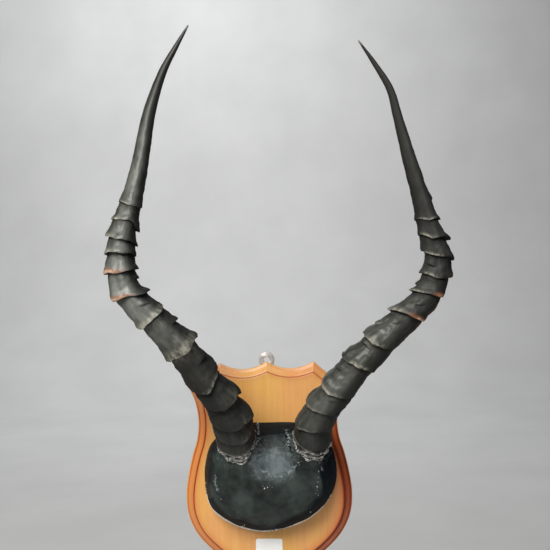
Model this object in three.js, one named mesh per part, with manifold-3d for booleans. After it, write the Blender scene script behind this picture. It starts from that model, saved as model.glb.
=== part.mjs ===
// A pair of impala horns on a black painted skull cap, screwed to a varnished wooden shield that hangs
// on a wall. Millimetres, +Z up. The shield's flat back lies in the plane y = 0, and the horns stand out
// towards -Y.
import * as THREE from "three";
import { mergeVertices } from "three/addons/utils/BufferGeometryUtils.js";
import Module from "manifold-3d";

const wasm = await Module();
wasm.setup();

// ---- driving dimensions ---------------------------------------------------------------------------------

const GAP = 0.3; // between two pieces that touch
const OVERCUT = 1; // how far a cut starts outside the piece it is made in
const WELD = 1e-4; // corners closer together than this are one corner
const ARC_STEPS = 10; // in a quarter turn of a drawn curve

const SHIELD_THICKNESS = 18;
const SHIELD_PEAK = { x: 0, z: 143 }; // the point in the middle of the top edge
const SHIELD_CORNER = { x: 57, z: 142 };
const SHIELD_SCALLOP = { x: 27.5, z: 126 }; // pulls the top edge down between peak and corner
const SHIELD_BEVEL = { x: 74.5, z: 126 }; // bends the slanted edge between corner and ear a little inwards
const SHIELD_EAR = { x: 94, z: 112.5 };
// The right side from ear to foot: in to the waist, out to the full width, then round to the pointed foot.
const SHIELD_SIDE = [
  [94, 112.5], [88, 98], [84.6, 82], [84, 67], [86.3, 50], [91.5, 33], [96.5, 12], [100, -12],
  [99.3, -33], [95, -49], [87, -64], [75, -78], [58, -92.5], [40, -105], [22, -118.5], [0, -142],
];
const SHIELD_STEPS = { top: 7, slant: 4, side: 20 }; // along each stretch of half the outline
// The moulded edge as [distance in from the outline, height above the back]: rim, bead, cove, fillet, face.
const SHIELD_MOULDING = [
  [0, 0], [0, 8.5], [1, 10.8], [3.2, 12.2], [5.6, 12.6], [8.2, 13.8], [9.7, 15.6], [9.9, 17.1], [10.9, 18],
];

const CAP_CENTRE = { x: 2, z: 12 };
// Outline of the cut edge that lies on the shield, clockwise from the middle of the straight top.
const CAP_OUTLINE = [
  [0, 71.6], [24, 71.6], [48, 68], [66, 58], [76, 42], [81.4, 16], [79.5, -4], [70.2, -24], [50.4, -43],
  [25, -54.5], [-5, -59.6], [-36, -54], [-63.5, -38], [-73.5, -22], [-77, 4], [-76.5, 20], [-69.8, 45],
  [-60, 56], [-44, 67], [-22, 71.6],
];
// How the bone domes up from its cut edge, as [share of the outline, height above the shield's face].
const CAP_DOME = [
  [1, 0], [1.004, 7], [0.985, 17], [0.935, 29], [0.84, 41], [0.69, 50], [0.49, 55], [0.25, 57.5],
];
const CAP_LEAN = 0.24; // how much lower the dome is at its lower edge than at its top
const CAP_SIDES = 48;
const CAP_ROOM = 400; // a block of this size in front of the shield takes in the whole cap
// The stump of bone that each horn grows from, as [distance along the horn from its root, growth over it].
const PEDICLE = [[-26, 0], [-12, 5], [0, 5.5], [6, 4.5], [9.5, 2.2]];

// Each horn's spine as [x, y, z, radius in the hollow between two rings], from root to tip.
const HORN_LEFT_SPINE = [
  [-34, -45, 47, 20.5], [-36, -58, 57, 21], [-41, -78, 80, 20.5], [-53, -98, 113, 18.5],
  [-71, -109, 138, 17.5], [-91, -117, 169, 17.5], [-125, -122, 207, 16], [-146, -123, 230, 15.5],
  [-155, -122, 255, 14.5],
  [-155, -120, 275, 14], [-153, -118, 296, 13.2], [-148, -114, 316, 12.2], [-143, -110, 335, 11.3],
  [-137, -103, 364, 10.2], [-132, -95, 394, 8.9], [-125, -85, 436, 7.2], [-110, -75, 483, 4.7],
  [-96, -71, 510, 3.1], [-81, -69, 536, 0.9],
];
const HORN_RIGHT_SPINE = [
  [49, -45, 48, 20.5], [52, -58, 59, 21], [56, -76, 79, 20], [65, -89, 98, 18.5], [79, -101, 118, 18],
  [96, -111, 141, 17.5], [117, -117, 163, 17], [156, -123, 201, 16], [177, -123, 222, 15],
  [187, -122, 244, 14.2],
  [189, -120, 267, 13.6], [184, -118, 287, 12.8], [180, -114, 305, 11.6], [176, -110, 324, 10.6],
  [169, -103, 354, 9.2], [160, -92, 396, 7], [154, -85, 425, 5.5], [147, -79, 456, 4.4], [131, -74, 486, 3],
  [113, -71, 514, 0.8],
];
// The growth rings as [distance of the lip from the root at the left, in front and at the right, how far it
// stands out].
const HORN_LEFT_RINGS = [
  [24, 21, 26, 2.2], [44, 39, 42, 2.8], [68, 61, 58, 3.4], [93, 88, 84, 3.6], [120, 111, 126, 3.2],
  [162, 156, 163, 4.2], [212, 205, 209, 3.2], [248, 241, 232, 3.6], [269, 267, 272, 3.8],
  [289, 289, 286, 3.6], [307, 304, 300, 3.4], [325, 322, 320, 2.4], [346, 341, 343, 1.2],
];
const HORN_RIGHT_RINGS = [
  [24, 26, 36, 2.2], [46, 51, 62, 3], [71, 77, 90, 3.2], [102, 102, 110, 3.8], [137, 138, 150, 3.2],
  [167, 171, 183, 3.2], [204, 216, 223, 3.4], [236, 246, 252, 3], [268, 264, 271, 3], [298, 288, 285, 3.4],
  [317, 307, 305, 3.2], [333, 327, 328, 2],
];
const LIP_STEP = 2.4; // from the hollow below a lip up to its edge
const LIP_BACK_SHARE = 0.5; // how far a lip stands out at the back, over the front
// Half way down the slope above a lip: its place over the way to the next lip, its height over the lip's.
const BELL_SLOPE = { place: 0.4, height: 0.35 };
const HORN_SIDES = 22;
const HORN_SMOOTH_STEP = 17; // between two sections where the horn has no rings
const HORN_DEPTH = 1.08; // front to back over side to side, at the root
const SPINE_DIVISIONS = 600; // for measuring the distance along a spine
const SOCKET_ROWS = [-GAP, 6, 12, 18, 24, 30, 40]; // distances from the root
const SOCKET_LIP = 3; // room in a socket for the first rings

const EYE = { z: 145, radius: 9.6, hole: 3.7 }; // the round end of the hanger, above the shield's peak
const STRAP_WIDTH = 17;
const STRAP_FOOT = 99;
const STRAP_CORNER = 4;
const PLATE_BACK = -0.3;
const PLATE_THICKNESS = 1.5;
const POCKET_PLAY = 0.45; // round the strap in its pocket
const HANGER_SCREW = { head: 3.4, headDepth: 1.9, shank: 1.6, length: 12.5, back: -0.6 };
const HANGER_SCREW_HEIGHTS = { hanger_screw_upper: 126, hanger_screw_lower: 109 };

const CAP_SCREW = { head: 4.6, headDepth: 3, shank: 2.4, length: 38, back: -0.8 };
const CAP_SCREW_PLACES = {
  cap_screw_left: [-42, 4], cap_screw_right: [46, 4], cap_screw_lower: [2, -36],
};
const SCREW_SIDES = 16;
const SCREW_POINT = 0.85; // where the shank starts to taper, over the length
const SEAT_SHARE = 0.4; // how far a grown countersink sits deeper, over its growth
const SLOT = { width: 0.9, depth: 0.7, length: 14 };

const LABEL = { x: -1.5, z: -79, width: 32, height: 22, corner: 2.5, thickness: 0.25, tilt: 0.02 };

// ---- solids ---------------------------------------------------------------------------------------------

// A closed geometry as a solid, its shared corners merged and its flat triangles dropped.
function solidOf(geometry) {
  const bare = geometry.clone();
  bare.deleteAttribute("normal");
  bare.deleteAttribute("uv");
  const merged = mergeVertices(bare, WELD);
  const corners = merged.index.array;
  const kept = [];
  for (let i = 0; i < corners.length; i += 3) {
    const [a, b, c] = corners.slice(i, i + 3);
    if (a !== b && b !== c && c !== a) kept.push(a, b, c);
  }
  const mesh = new wasm.Mesh({
    numProp: 3,
    vertProperties: new Float32Array(merged.attributes.position.array),
    triVerts: new Uint32Array(kept),
  });
  return new wasm.Manifold(mesh);
}

function geometryOf(solid) {
  const mesh = solid.getMesh();
  const geometry = new THREE.BufferGeometry();
  geometry.setAttribute("position", new THREE.BufferAttribute(new Float32Array(mesh.vertProperties), 3));
  geometry.setIndex(new THREE.BufferAttribute(new Uint32Array(mesh.triVerts), 1));
  geometry.computeVertexNormals();
  return geometry;
}

function signedVolume(points, triangles) {
  const [a, b, c] = [new THREE.Vector3(), new THREE.Vector3(), new THREE.Vector3()];
  let volume = 0;
  for (let i = 0; i < triangles.length; i += 3) {
    a.copy(points[triangles[i]]);
    b.copy(points[triangles[i + 1]]);
    c.copy(points[triangles[i + 2]]);
    volume += a.dot(b.cross(c)) / 6;
  }
  return volume;
}

// A closed skin over a row of loops with equally many points. Each end is filled from its own middle, or,
// where flatEnds is set, as a flat polygon seen along Y.
function loft(loops, flatEnds = false) {
  const count = loops[0].length;
  const points = loops.flat();
  const triangles = [];
  for (let row = 0; row + 1 < loops.length; row += 1) {
    for (let i = 0; i < count; i += 1) {
      const next = (i + 1) % count;
      const [a, b] = [row * count + i, row * count + next];
      triangles.push(a, b, b + count, a, b + count, a + count);
    }
  }
  const ends = [{ start: 0, turned: true }, { start: (loops.length - 1) * count, turned: false }];
  for (const { start, turned } of ends) {
    const loop = points.slice(start, start + count);
    const fill = flatEnds ? polygonFill(loop, start) : fanFill(loop, start, points);
    for (const [a, b, c] of fill) triangles.push(...(turned ? [a, c, b] : [a, b, c]));
  }
  if (signedVolume(points, triangles) < 0) triangles.reverse();
  const geometry = new THREE.BufferGeometry().setFromPoints(points);
  geometry.setIndex(triangles);
  geometry.computeVertexNormals();
  return geometry;
}

function fanFill(loop, start, points) {
  const middle = loop.reduce((sum, point) => sum.add(point), new THREE.Vector3()).divideScalar(loop.length);
  const hub = points.push(middle) - 1;
  return loop.map((_, i) => [start + i, start + ((i + 1) % loop.length), hub]);
}

function polygonFill(loop, start) {
  const flat = loop.map((point) => new THREE.Vector2(point.x, point.z));
  const faces = THREE.ShapeUtils.triangulateShape(flat, []);
  const turnsLeft = THREE.ShapeUtils.area(flat) > 0;
  return faces.map(([a, b, c]) => {
    const [pa, pb, pc] = [flat[a], flat[b], flat[c]];
    const left = (pb.x - pa.x) * (pc.y - pa.y) - (pb.y - pa.y) * (pc.x - pa.x) > 0;
    return left === turnsLeft ? [start + a, start + b, start + c] : [start + a, start + c, start + b];
  });
}

// A flat sheet cut to a shape drawn in x and z, with its back at the given y and its thickness towards -Y.
function sheet(shape, back, thickness) {
  const options = { depth: thickness, bevelEnabled: false, curveSegments: ARC_STEPS };
  const geometry = new THREE.ExtrudeGeometry(shape, options);
  return geometry.rotateX(Math.PI / 2).translate(0, back, 0);
}

function slabShape(centre, width, height, corner) {
  const [left, right] = [centre.x - width / 2, centre.x + width / 2];
  const [low, high] = [centre.z - height / 2, centre.z + height / 2];
  const shape = new THREE.Shape();
  shape.moveTo(left + corner, low);
  shape.lineTo(right - corner, low);
  shape.absarc(right - corner, low + corner, corner, -Math.PI / 2, 0, false);
  shape.lineTo(right, high - corner);
  shape.absarc(right - corner, high - corner, corner, 0, Math.PI / 2, false);
  shape.lineTo(left + corner, high);
  shape.absarc(left + corner, high - corner, corner, Math.PI / 2, Math.PI, false);
  shape.lineTo(left, low + corner);
  shape.absarc(left + corner, low + corner, corner, Math.PI, Math.PI * 1.5, false);
  return shape;
}

function material(color, roughness, metalness) {
  return new THREE.MeshStandardMaterial({ color, roughness, metalness });
}

function piece(name, geometry, finish) {
  const mesh = new THREE.Mesh(geometry, finish);
  mesh.name = name;
  return mesh;
}

// ---- screws ---------------------------------------------------------------------------------------------

// A countersunk screw driven in from the back, its axis along Y; grown makes the hole it sits in.
function screwBody(screw, x, z, grown = 0) {
  const top = grown > 0 ? OVERCUT : screw.back;
  const seat = screw.back - grown * SEAT_SHARE;
  const points = [
    [0, top],
    [screw.head + grown, top],
    [screw.head + grown, seat],
    [screw.shank + grown, seat - screw.headDepth],
    [screw.shank + grown, screw.back - screw.length * SCREW_POINT],
    [0, screw.back - screw.length - grown],
  ].map(([radius, y]) => new THREE.Vector2(radius, y));
  const distinct = points.filter((point, i) => i === 0 || point.distanceTo(points[i - 1]) > WELD);
  const lathe = new THREE.LatheGeometry(distinct.reverse(), SCREW_SIDES);
  return solidOf(lathe.translate(x, 0, z));
}

function screwPiece(name, screw, x, z) {
  const blade = new THREE.BoxGeometry(SLOT.length, SLOT.depth * 2, SLOT.width).translate(x, screw.back, z);
  const cut = screwBody(screw, x, z).subtract(solidOf(blade));
  return piece(name, geometryOf(cut), material(0x8d8a80, 0.45, 0.9));
}

// ---- wooden shield --------------------------------------------------------------------------------------

function curvePoints(curve, steps) {
  return curve.getSpacedPoints(steps).slice(0, -1);
}

// The closed outline in x and z, clockwise seen from the front, starting at the middle peak.
function shieldOutline() {
  const at = ({ x, z }) => new THREE.Vector2(x, z);
  const top = new THREE.QuadraticBezierCurve(at(SHIELD_PEAK), at(SHIELD_SCALLOP), at(SHIELD_CORNER));
  const slant = new THREE.QuadraticBezierCurve(at(SHIELD_CORNER), at(SHIELD_BEVEL), at(SHIELD_EAR));
  const side = new THREE.SplineCurve(SHIELD_SIDE.map(([x, z]) => new THREE.Vector2(x, z)));
  const right = [
    ...curvePoints(top, SHIELD_STEPS.top),
    ...curvePoints(slant, SHIELD_STEPS.slant),
    ...curvePoints(side, SHIELD_STEPS.side),
  ];
  const foot = new THREE.Vector2(...SHIELD_SIDE.at(-1));
  const left = right.slice(1).reverse().map(({ x, y }) => new THREE.Vector2(-x, y));
  return [...right, foot, ...left];
}

// The outline moved inwards by a distance, with mitred corners.
function inset(outline, distance) {
  return outline.map((point, i) => {
    const before = outline.at(i - 1);
    const after = outline[(i + 1) % outline.length];
    const inward = (from, to) => new THREE.Vector2(to.y - from.y, from.x - to.x).normalize();
    const [n1, n2] = [inward(before, point), inward(point, after)];
    const mitre = n1.clone().add(n2).divideScalar(1 + n1.dot(n2));
    return point.clone().addScaledVector(mitre, distance);
  });
}

function shieldPiece(cuts) {
  const outline = shieldOutline();
  const loops = SHIELD_MOULDING.map(([distance, height]) =>
    inset(outline, distance).map(({ x, y }) => new THREE.Vector3(x, -height, y)));
  const board = cuts.reduce((solid, cut) => solid.subtract(cut), solidOf(loft(loops, true)));
  return piece("shield_plaque", geometryOf(board), material(0xd49a55, 0.3, 0));
}

// ---- horns ----------------------------------------------------------------------------------------------

// A horn's spine, with its radius and its own front and side directions at any distance from the root. It
// runs on straight below the root.
function hornSpine(rows) {
  const points = rows.map(([x, y, z]) => new THREE.Vector3(x, y, z));
  const curve = new THREE.CatmullRomCurve3(points, false, "centripetal");
  curve.arcLengthDivisions = SPINE_DIVISIONS;
  const length = curve.getLength();
  const at = (distance) => {
    const t = curve.getUtoTmapping(0, Math.max(distance, 0));
    const along = curve.getTangent(t);
    const centre = curve.getPoint(t).addScaledVector(along, Math.min(distance, 0));
    const place = t * (rows.length - 1);
    const row = Math.min(Math.floor(place), rows.length - 2);
    const radius = THREE.MathUtils.lerp(rows[row][3], rows[row + 1][3], place - row);
    const front = new THREE.Vector3(0, -1, 0);
    front.addScaledVector(along, -front.dot(along)).normalize();
    const side = along.clone().cross(front);
    return { centre, front, side, radius };
  };
  return { length, at };
}

// A closed ring of points round the spine. Its distance from the root may change with the turn round the
// horn, which is 0 at the front, a quarter turn at the right and minus a quarter turn at the left.
function hornSection(spine, distanceAt, lip, grown = 0) {
  return Array.from({ length: HORN_SIDES }, (_, i) => {
    const turn = (i / HORN_SIDES) * Math.PI * 2;
    const distance = distanceAt(turn);
    const { centre, front, side, radius } = spine.at(distance);
    const stands = lip * THREE.MathUtils.lerp(LIP_BACK_SHARE, 1, (1 + Math.cos(turn)) / 2);
    const reach = radius + grown + stands;
    const depth = THREE.MathUtils.lerp(HORN_DEPTH, 1, Math.max(distance, 0) / spine.length);
    return centre
      .addScaledVector(front, reach * depth * Math.cos(turn))
      .addScaledVector(side, reach * Math.sin(turn));
  });
}

// A ring's distance from the root at any turn, through its left, front and right. The back is midway between
// the sides.
function ringLine([left, front, right]) {
  const middle = (left + right) / 2;
  return (turn) => {
    const forward = (front - middle) * Math.max(Math.cos(turn), 0);
    return middle + ((right - left) / 2) * Math.sin(turn) + forward;
  };
}

// One horn: at each ring the hollow below the lip, the lip and the slope above it, and then the smooth end.
function hornSolid(rows, rings) {
  const spine = hornSpine(rows);
  const lines = rings.map(ringLine);
  const last = rings.at(-1)[0] + HORN_SMOOTH_STEP;
  const steps = Math.ceil((spine.length - last) / HORN_SMOOTH_STEP);
  const loops = [hornSection(spine, () => 0, 0)];
  rings.forEach(([, , , height], i) => {
    const line = lines[i];
    const next = lines[i + 1] ?? (() => last);
    loops.push(hornSection(spine, (turn) => line(turn) - LIP_STEP, 0));
    loops.push(hornSection(spine, line, height));
    const slope = (turn) => THREE.MathUtils.lerp(line(turn), next(turn), BELL_SLOPE.place);
    loops.push(hornSection(spine, slope, height * BELL_SLOPE.height));
  });
  for (let i = 0; i <= steps; i += 1) {
    loops.push(hornSection(spine, () => THREE.MathUtils.lerp(last, spine.length, i / steps), 0));
  }
  return solidOf(loft(loops));
}

// The socket that a horn leaves in its pedicle: the root of the horn, grown all round and carried on below.
function hornSocket(rows) {
  const spine = hornSpine(rows);
  return solidOf(loft(SOCKET_ROWS.map((distance) => hornSection(spine, () => distance, SOCKET_LIP, GAP))));
}

// ---- skull cap ------------------------------------------------------------------------------------------

function pedicle(rows) {
  const spine = hornSpine(rows);
  return solidOf(loft(PEDICLE.map(([distance, grown]) => hornSection(spine, () => distance, 0, grown))));
}

function capPiece(spines, cuts) {
  const edge = new THREE.CatmullRomCurve3(CAP_OUTLINE.map(([x, z]) => new THREE.Vector3(x, 0, z)), true);
  const rim = edge.getSpacedPoints(CAP_SIDES).slice(0, -1);
  const base = -SHIELD_THICKNESS - GAP;
  const [top, bottom] = [Math.max(...rim.map(({ z }) => z)), Math.min(...rim.map(({ z }) => z))];
  const loops = CAP_DOME.map(([share, height]) => rim.map((point) => {
    const x = CAP_CENTRE.x + (point.x - CAP_CENTRE.x) * share;
    const z = CAP_CENTRE.z + (point.z - CAP_CENTRE.z) * share;
    const lean = 1 - (CAP_LEAN * (top - z)) / (top - bottom);
    return new THREE.Vector3(x, base - height * lean, z);
  }));
  const dome = solidOf(loft(loops));
  const room = new THREE.BoxGeometry(CAP_ROOM, CAP_ROOM, CAP_ROOM).translate(0, base - CAP_ROOM / 2, 0);
  const keep = solidOf(room);
  const bone = spines.reduce((solid, rows) => solid.add(pedicle(rows).intersect(keep)), dome);
  const sockets = spines.map(hornSocket);
  const cut = [...sockets, ...cuts].reduce((solid, tool) => solid.subtract(tool), bone);
  return piece("skull_cap", geometryOf(cut), material(0x1d2020, 0.3, 0));
}

// ---- hanger and label -----------------------------------------------------------------------------------

function strapShape(grown, eyeHole) {
  const half = STRAP_WIDTH / 2 + grown;
  const radius = EYE.radius + grown;
  const neck = EYE.z - Math.sqrt(radius * radius - half * half);
  const bend = Math.asin(half / radius);
  const foot = STRAP_FOOT - grown;
  const shape = new THREE.Shape();
  shape.moveTo(-half + STRAP_CORNER, foot);
  shape.lineTo(half - STRAP_CORNER, foot);
  shape.absarc(half - STRAP_CORNER, foot + STRAP_CORNER, STRAP_CORNER, -Math.PI / 2, 0, false);
  shape.lineTo(half, neck);
  shape.absarc(0, EYE.z, radius, -Math.PI / 2 + bend, Math.PI * 1.5 - bend, false);
  shape.lineTo(-half, foot + STRAP_CORNER);
  shape.absarc(-half + STRAP_CORNER, foot + STRAP_CORNER, STRAP_CORNER, Math.PI, Math.PI * 1.5, false);
  if (eyeHole) shape.holes.push(new THREE.Path().absarc(0, EYE.z, EYE.hole, 0, Math.PI * 2, true));
  return shape;
}

function hangerPiece(cuts) {
  const strap = solidOf(sheet(strapShape(0, true), PLATE_BACK, PLATE_THICKNESS));
  const drilled = cuts.reduce((solid, cut) => solid.subtract(cut), strap);
  return piece("hanger_plate", geometryOf(drilled), material(0x8e867d, 0.5, 0.85));
}

function hangerRecess() {
  const depth = PLATE_THICKNESS + GAP * 2;
  return solidOf(sheet(strapShape(POCKET_PLAY, false), OVERCUT, depth + OVERCUT));
}

function labelPiece() {
  const shape = slabShape({ x: 0, z: 0 }, LABEL.width, LABEL.height, LABEL.corner);
  const geometry = sheet(shape, 0, LABEL.thickness);
  const mesh = piece("paper_label", geometry, material(0xf0f0ec, 0.8, 0));
  mesh.position.set(LABEL.x, -SHIELD_THICKNESS - GAP, LABEL.z);
  mesh.rotation.y = LABEL.tilt;
  return mesh;
}

// ---- the whole mount ------------------------------------------------------------------------------------

const hangerHoles = Object.values(HANGER_SCREW_HEIGHTS).map((z) => screwBody(HANGER_SCREW, 0, z, GAP));
const capHoles = Object.values(CAP_SCREW_PLACES).map(([x, z]) => screwBody(CAP_SCREW, x, z, GAP));

const mount = new THREE.Group();
mount.add(shieldPiece([hangerRecess(), ...hangerHoles, ...capHoles]));
mount.add(capPiece([HORN_LEFT_SPINE, HORN_RIGHT_SPINE], capHoles));
const keratin = material(0x57574f, 0.45, 0);
mount.add(piece("horn_left", geometryOf(hornSolid(HORN_LEFT_SPINE, HORN_LEFT_RINGS)), keratin));
mount.add(piece("horn_right", geometryOf(hornSolid(HORN_RIGHT_SPINE, HORN_RIGHT_RINGS)), keratin.clone()));
mount.add(hangerPiece(hangerHoles));
for (const [name, z] of Object.entries(HANGER_SCREW_HEIGHTS)) mount.add(screwPiece(name, HANGER_SCREW, 0, z));
for (const [name, [x, z]] of Object.entries(CAP_SCREW_PLACES)) mount.add(screwPiece(name, CAP_SCREW, x, z));
mount.add(labelPiece());

export default mount;
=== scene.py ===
# A pair of impala horns on a black painted skull cap, on a varnished wooden shield that hangs on a wall.
import math

import bmesh
import bpy
import numpy as np
from mathutils import Matrix, Vector, noise
from mathutils.geometry import tessellate_polygon


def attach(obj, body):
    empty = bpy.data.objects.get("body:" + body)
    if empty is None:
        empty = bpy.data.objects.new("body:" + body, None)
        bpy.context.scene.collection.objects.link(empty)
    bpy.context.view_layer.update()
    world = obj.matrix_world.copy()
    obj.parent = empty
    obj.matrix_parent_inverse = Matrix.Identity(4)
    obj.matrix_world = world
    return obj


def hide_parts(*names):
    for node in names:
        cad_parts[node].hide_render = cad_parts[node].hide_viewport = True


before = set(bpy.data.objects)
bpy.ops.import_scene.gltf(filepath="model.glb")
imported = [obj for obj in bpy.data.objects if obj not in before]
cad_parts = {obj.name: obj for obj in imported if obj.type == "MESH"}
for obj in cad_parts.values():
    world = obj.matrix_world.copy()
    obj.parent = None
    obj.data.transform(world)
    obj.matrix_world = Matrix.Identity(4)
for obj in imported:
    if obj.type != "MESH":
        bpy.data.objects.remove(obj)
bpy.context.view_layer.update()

MM = 0.001  # lengths are given in millimetres and leave for Blender, in metres, through this

# ---- studio ------------------------------------------------------------------------------------------------
# The mount hangs above a pale floor that sweeps up, far behind it, into a plain wall. A broad soft box at the
# upper left is the main light, a weak one hangs overhead and a third lights the wall. The camera looks level
# at the horns from a little over a metre away.

CAMERA_PLACE = (12.3, -1118, 248)
CAMERA_ROLL = math.radians(1.2)
CAMERA_LENS = 60
CAMERA_SENSOR = 36
FLOOR_LEVEL = -420
SWEEP_NEAR, SWEEP_FAR, SWEEP_RADIUS, SWEEP_TOP = -3200, 4600, 1400, 4200
SWEEP_HALF_WIDTH = 2400
SWEEP_STEPS = 24
ROOM_LIGHT = (0.80, 0.85, 0.92)
ROOM_STRENGTH = 0.07
# Each soft box: its place, the place it faces, its size in metres, its power in watts and its colour.
SOFT_BOXES = {
    "key_soft_box": ((-680, -1540, 1480), (0, -100, 200), (1.2, 1.0), 59, (1.0, 0.975, 0.93)),
    "overhead_soft_box": ((620, -700, 1400), (0, -60, 100), (0.8, 0.6), 5, (0.90, 0.95, 1.0)),
    "wall_soft_box": ((-600, 2400, 2600), (0, 4600, 300), (1.6, 1.2), 58, (0.97, 0.98, 1.0)),
}


def add_node(tree, kind, feeds=None, **settings):
    """A node in a tree; feeds maps its inputs to values or to the outputs that drive them."""
    made = tree.nodes.new(kind)
    for name, value in settings.items():
        setattr(made, name, value)
    for name, value in (feeds or {}).items():
        if isinstance(value, bpy.types.NodeSocket):
            tree.links.new(value, made.inputs[name])
        else:
            made.inputs[name].default_value = value
    return made


def maths(tree, operation, first, second=0.0, third=0.0):
    return add_node(tree, "ShaderNodeMath", {0: first, 1: second, 2: third}, operation=operation).outputs[0]


def times(tree, first, second):
    return maths(tree, "MULTIPLY", first, second)


def colour_of(tone):
    """A plain colour or grey as red, green, blue and alpha; a node's output stays as it is."""
    if isinstance(tone, bpy.types.NodeSocket):
        return tone
    return (*tone, 1) if isinstance(tone, tuple) else (tone, tone, tone, 1)


def blend(tree, share, first, second):
    """Two colours mixed by a share from 0 to 1."""
    feeds = {0: share, 6: colour_of(first), 7: colour_of(second)}
    return add_node(tree, "ShaderNodeMix", feeds, data_type="RGBA").outputs[2]


def scaled(tree, vector, scale):
    """A pattern's coordinates, stretched by its own scale along each axis."""
    return add_node(tree, "ShaderNodeVectorMath", {0: vector, 1: scale}, operation="MULTIPLY").outputs[0]


def grain_noise(tree, vector, scale, detail=3.0, roughness=0.55, distortion=0.0):
    feeds = {"Vector": scaled(tree, vector, scale), "Scale": 1.0, "Detail": detail, "Roughness": roughness,
             "Distortion": distortion}
    return add_node(tree, "ShaderNodeTexNoise", feeds).outputs[0]


def ramp(tree, value, *stops):
    """A value turned into a colour or a grey by stops of (place, colour or grey)."""
    made = add_node(tree, "ShaderNodeValToRGB", {0: value})
    band = made.color_ramp.elements
    while len(band) < len(stops):
        band.new(1.0)
    for element, (place, tone) in zip(band, stops):
        element.position = place
        element.color = colour_of(tone)
    return made.outputs[0]


def finish_tree(name, **fixed):
    """A new material with its Principled shader; fixed sets the shader's unlinked sockets."""
    made = bpy.data.materials.new(name)
    made.use_nodes = True
    shader = made.node_tree.nodes["Principled BSDF"]
    for socket, value in fixed.items():
        shader.inputs[socket.replace("_", " ")].default_value = value
    return made, made.node_tree, shader


def attribute(tree, name, output="Fac"):
    return add_node(tree, "ShaderNodeAttribute", attribute_name=name).outputs[output]


def object_place(tree):
    return add_node(tree, "ShaderNodeTexCoord").outputs["Object"]


def bump(tree, height, distance, strength=1.0, under=None):
    feeds = {"Height": height, "Distance": distance, "Strength": strength}
    if under is not None:
        feeds["Normal"] = under
    return add_node(tree, "ShaderNodeBump", feeds).outputs[0]


def wire(tree, shader, colour, roughness, normal):
    tree.links.new(colour, shader.inputs["Base Color"])
    tree.links.new(roughness, shader.inputs["Roughness"])
    tree.links.new(normal, shader.inputs["Normal"])


def new_object(name, data):
    made = bpy.data.objects.new(name, data)
    bpy.context.scene.collection.objects.link(made)
    return made


def soft_box(name, place, target, size, power, colour):
    lamp = bpy.data.lights.new(name, "AREA")
    lamp.shape = "RECTANGLE"
    lamp.size, lamp.size_y = size
    lamp.energy = power
    lamp.color = colour
    holder = new_object(name, lamp)
    holder.location = Vector(place) * MM
    holder.rotation_euler = (Vector(target) - Vector(place)).to_track_quat("-Z", "Y").to_euler()


def studio_sweep():
    """The floor and the wall as one bent sheet."""
    corner = np.linspace(0, math.pi / 2, SWEEP_STEPS)
    across = SWEEP_FAR - SWEEP_RADIUS + SWEEP_RADIUS * np.sin(corner)
    up = FLOOR_LEVEL + SWEEP_RADIUS * (1 - np.cos(corner))
    line = [(SWEEP_NEAR, FLOOR_LEVEL), *zip(across, up), (SWEEP_FAR, SWEEP_TOP)]
    sheet = bmesh.new()
    left = [sheet.verts.new(Vector((-SWEEP_HALF_WIDTH, y, z)) * MM) for y, z in line]
    right = [sheet.verts.new(Vector((SWEEP_HALF_WIDTH, y, z)) * MM) for y, z in line]
    for i in range(len(line) - 1):
        sheet.faces.new((left[i], right[i], right[i + 1], left[i + 1])).smooth = True
    data = bpy.data.meshes.new("studio_sweep")
    sheet.to_mesh(data)
    data.materials.append(sweep_paint())
    return new_object("studio_sweep", data)


def sweep_paint():
    made, tree, shader = finish_tree("studio_paint")
    mottle = grain_noise(tree, object_place(tree), (3, 3, 3))
    colour = ramp(tree, mottle, (0.3, (0.70, 0.70, 0.69)), (0.7, (0.76, 0.76, 0.75)))
    wire(tree, shader, colour, ramp(tree, mottle, (0, 0.75), (1, 0.9)), bump(tree, mottle, 0.002, 0.1))
    return made


camera_data = bpy.data.cameras.new("camera")
camera_data.lens = CAMERA_LENS
camera_data.sensor_width = CAMERA_SENSOR
camera = new_object("camera", camera_data)
camera_turn = Matrix.Rotation(CAMERA_ROLL, 4, "Y") @ Matrix.Rotation(math.pi / 2, 4, "X")
camera.matrix_world = Matrix.Translation(Vector(CAMERA_PLACE) * MM) @ camera_turn
bpy.context.scene.camera = camera
bpy.context.scene.view_settings.view_transform = "Standard"

room = bpy.data.worlds.new("room")
room.use_nodes = True
background = room.node_tree.nodes["Background"]
background.inputs["Color"].default_value = colour_of(ROOM_LIGHT)
background.inputs["Strength"].default_value = ROOM_STRENGTH
bpy.context.scene.world = room

for name, settings in SOFT_BOXES.items():
    soft_box(name, *settings)
studio_sweep()

# ---- wooden shield -----------------------------------------------------------------------------------------
# One board of pale hardwood, cut to a heater-shield outline, stained and varnished. Its front edge is worked
# to a small bead, a shallow ogee and a square step, and its back is pocketed and drilled for the fittings.

TOUCH = 0.3  # the gap between two pieces that touch
SHIELD_THICKNESS = 18
# The top edge: its middle peak, the point that pulls the scallop down, its corner, and the point that pulls
# in the slant from there to the ear.
SHIELD_PEAK, SHIELD_SCALLOP, SHIELD_CORNER = (0, 143), (27.5, 126), (57, 142)
SHIELD_BEVEL = (74.5, 126)
# The right side from the ear, in to the waist, out to the full width and round to the pointed foot.
SHIELD_SIDE = [
    (94, 112.5), (88, 98), (84.6, 82), (84, 67), (86.3, 50), (91.5, 33), (96.5, 12), (100, -12),
    (99.3, -33), (95, -49), (87, -64), (75, -78), (58, -92.5), (40, -105), (22, -118.5), (0, -142),
]
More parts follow.
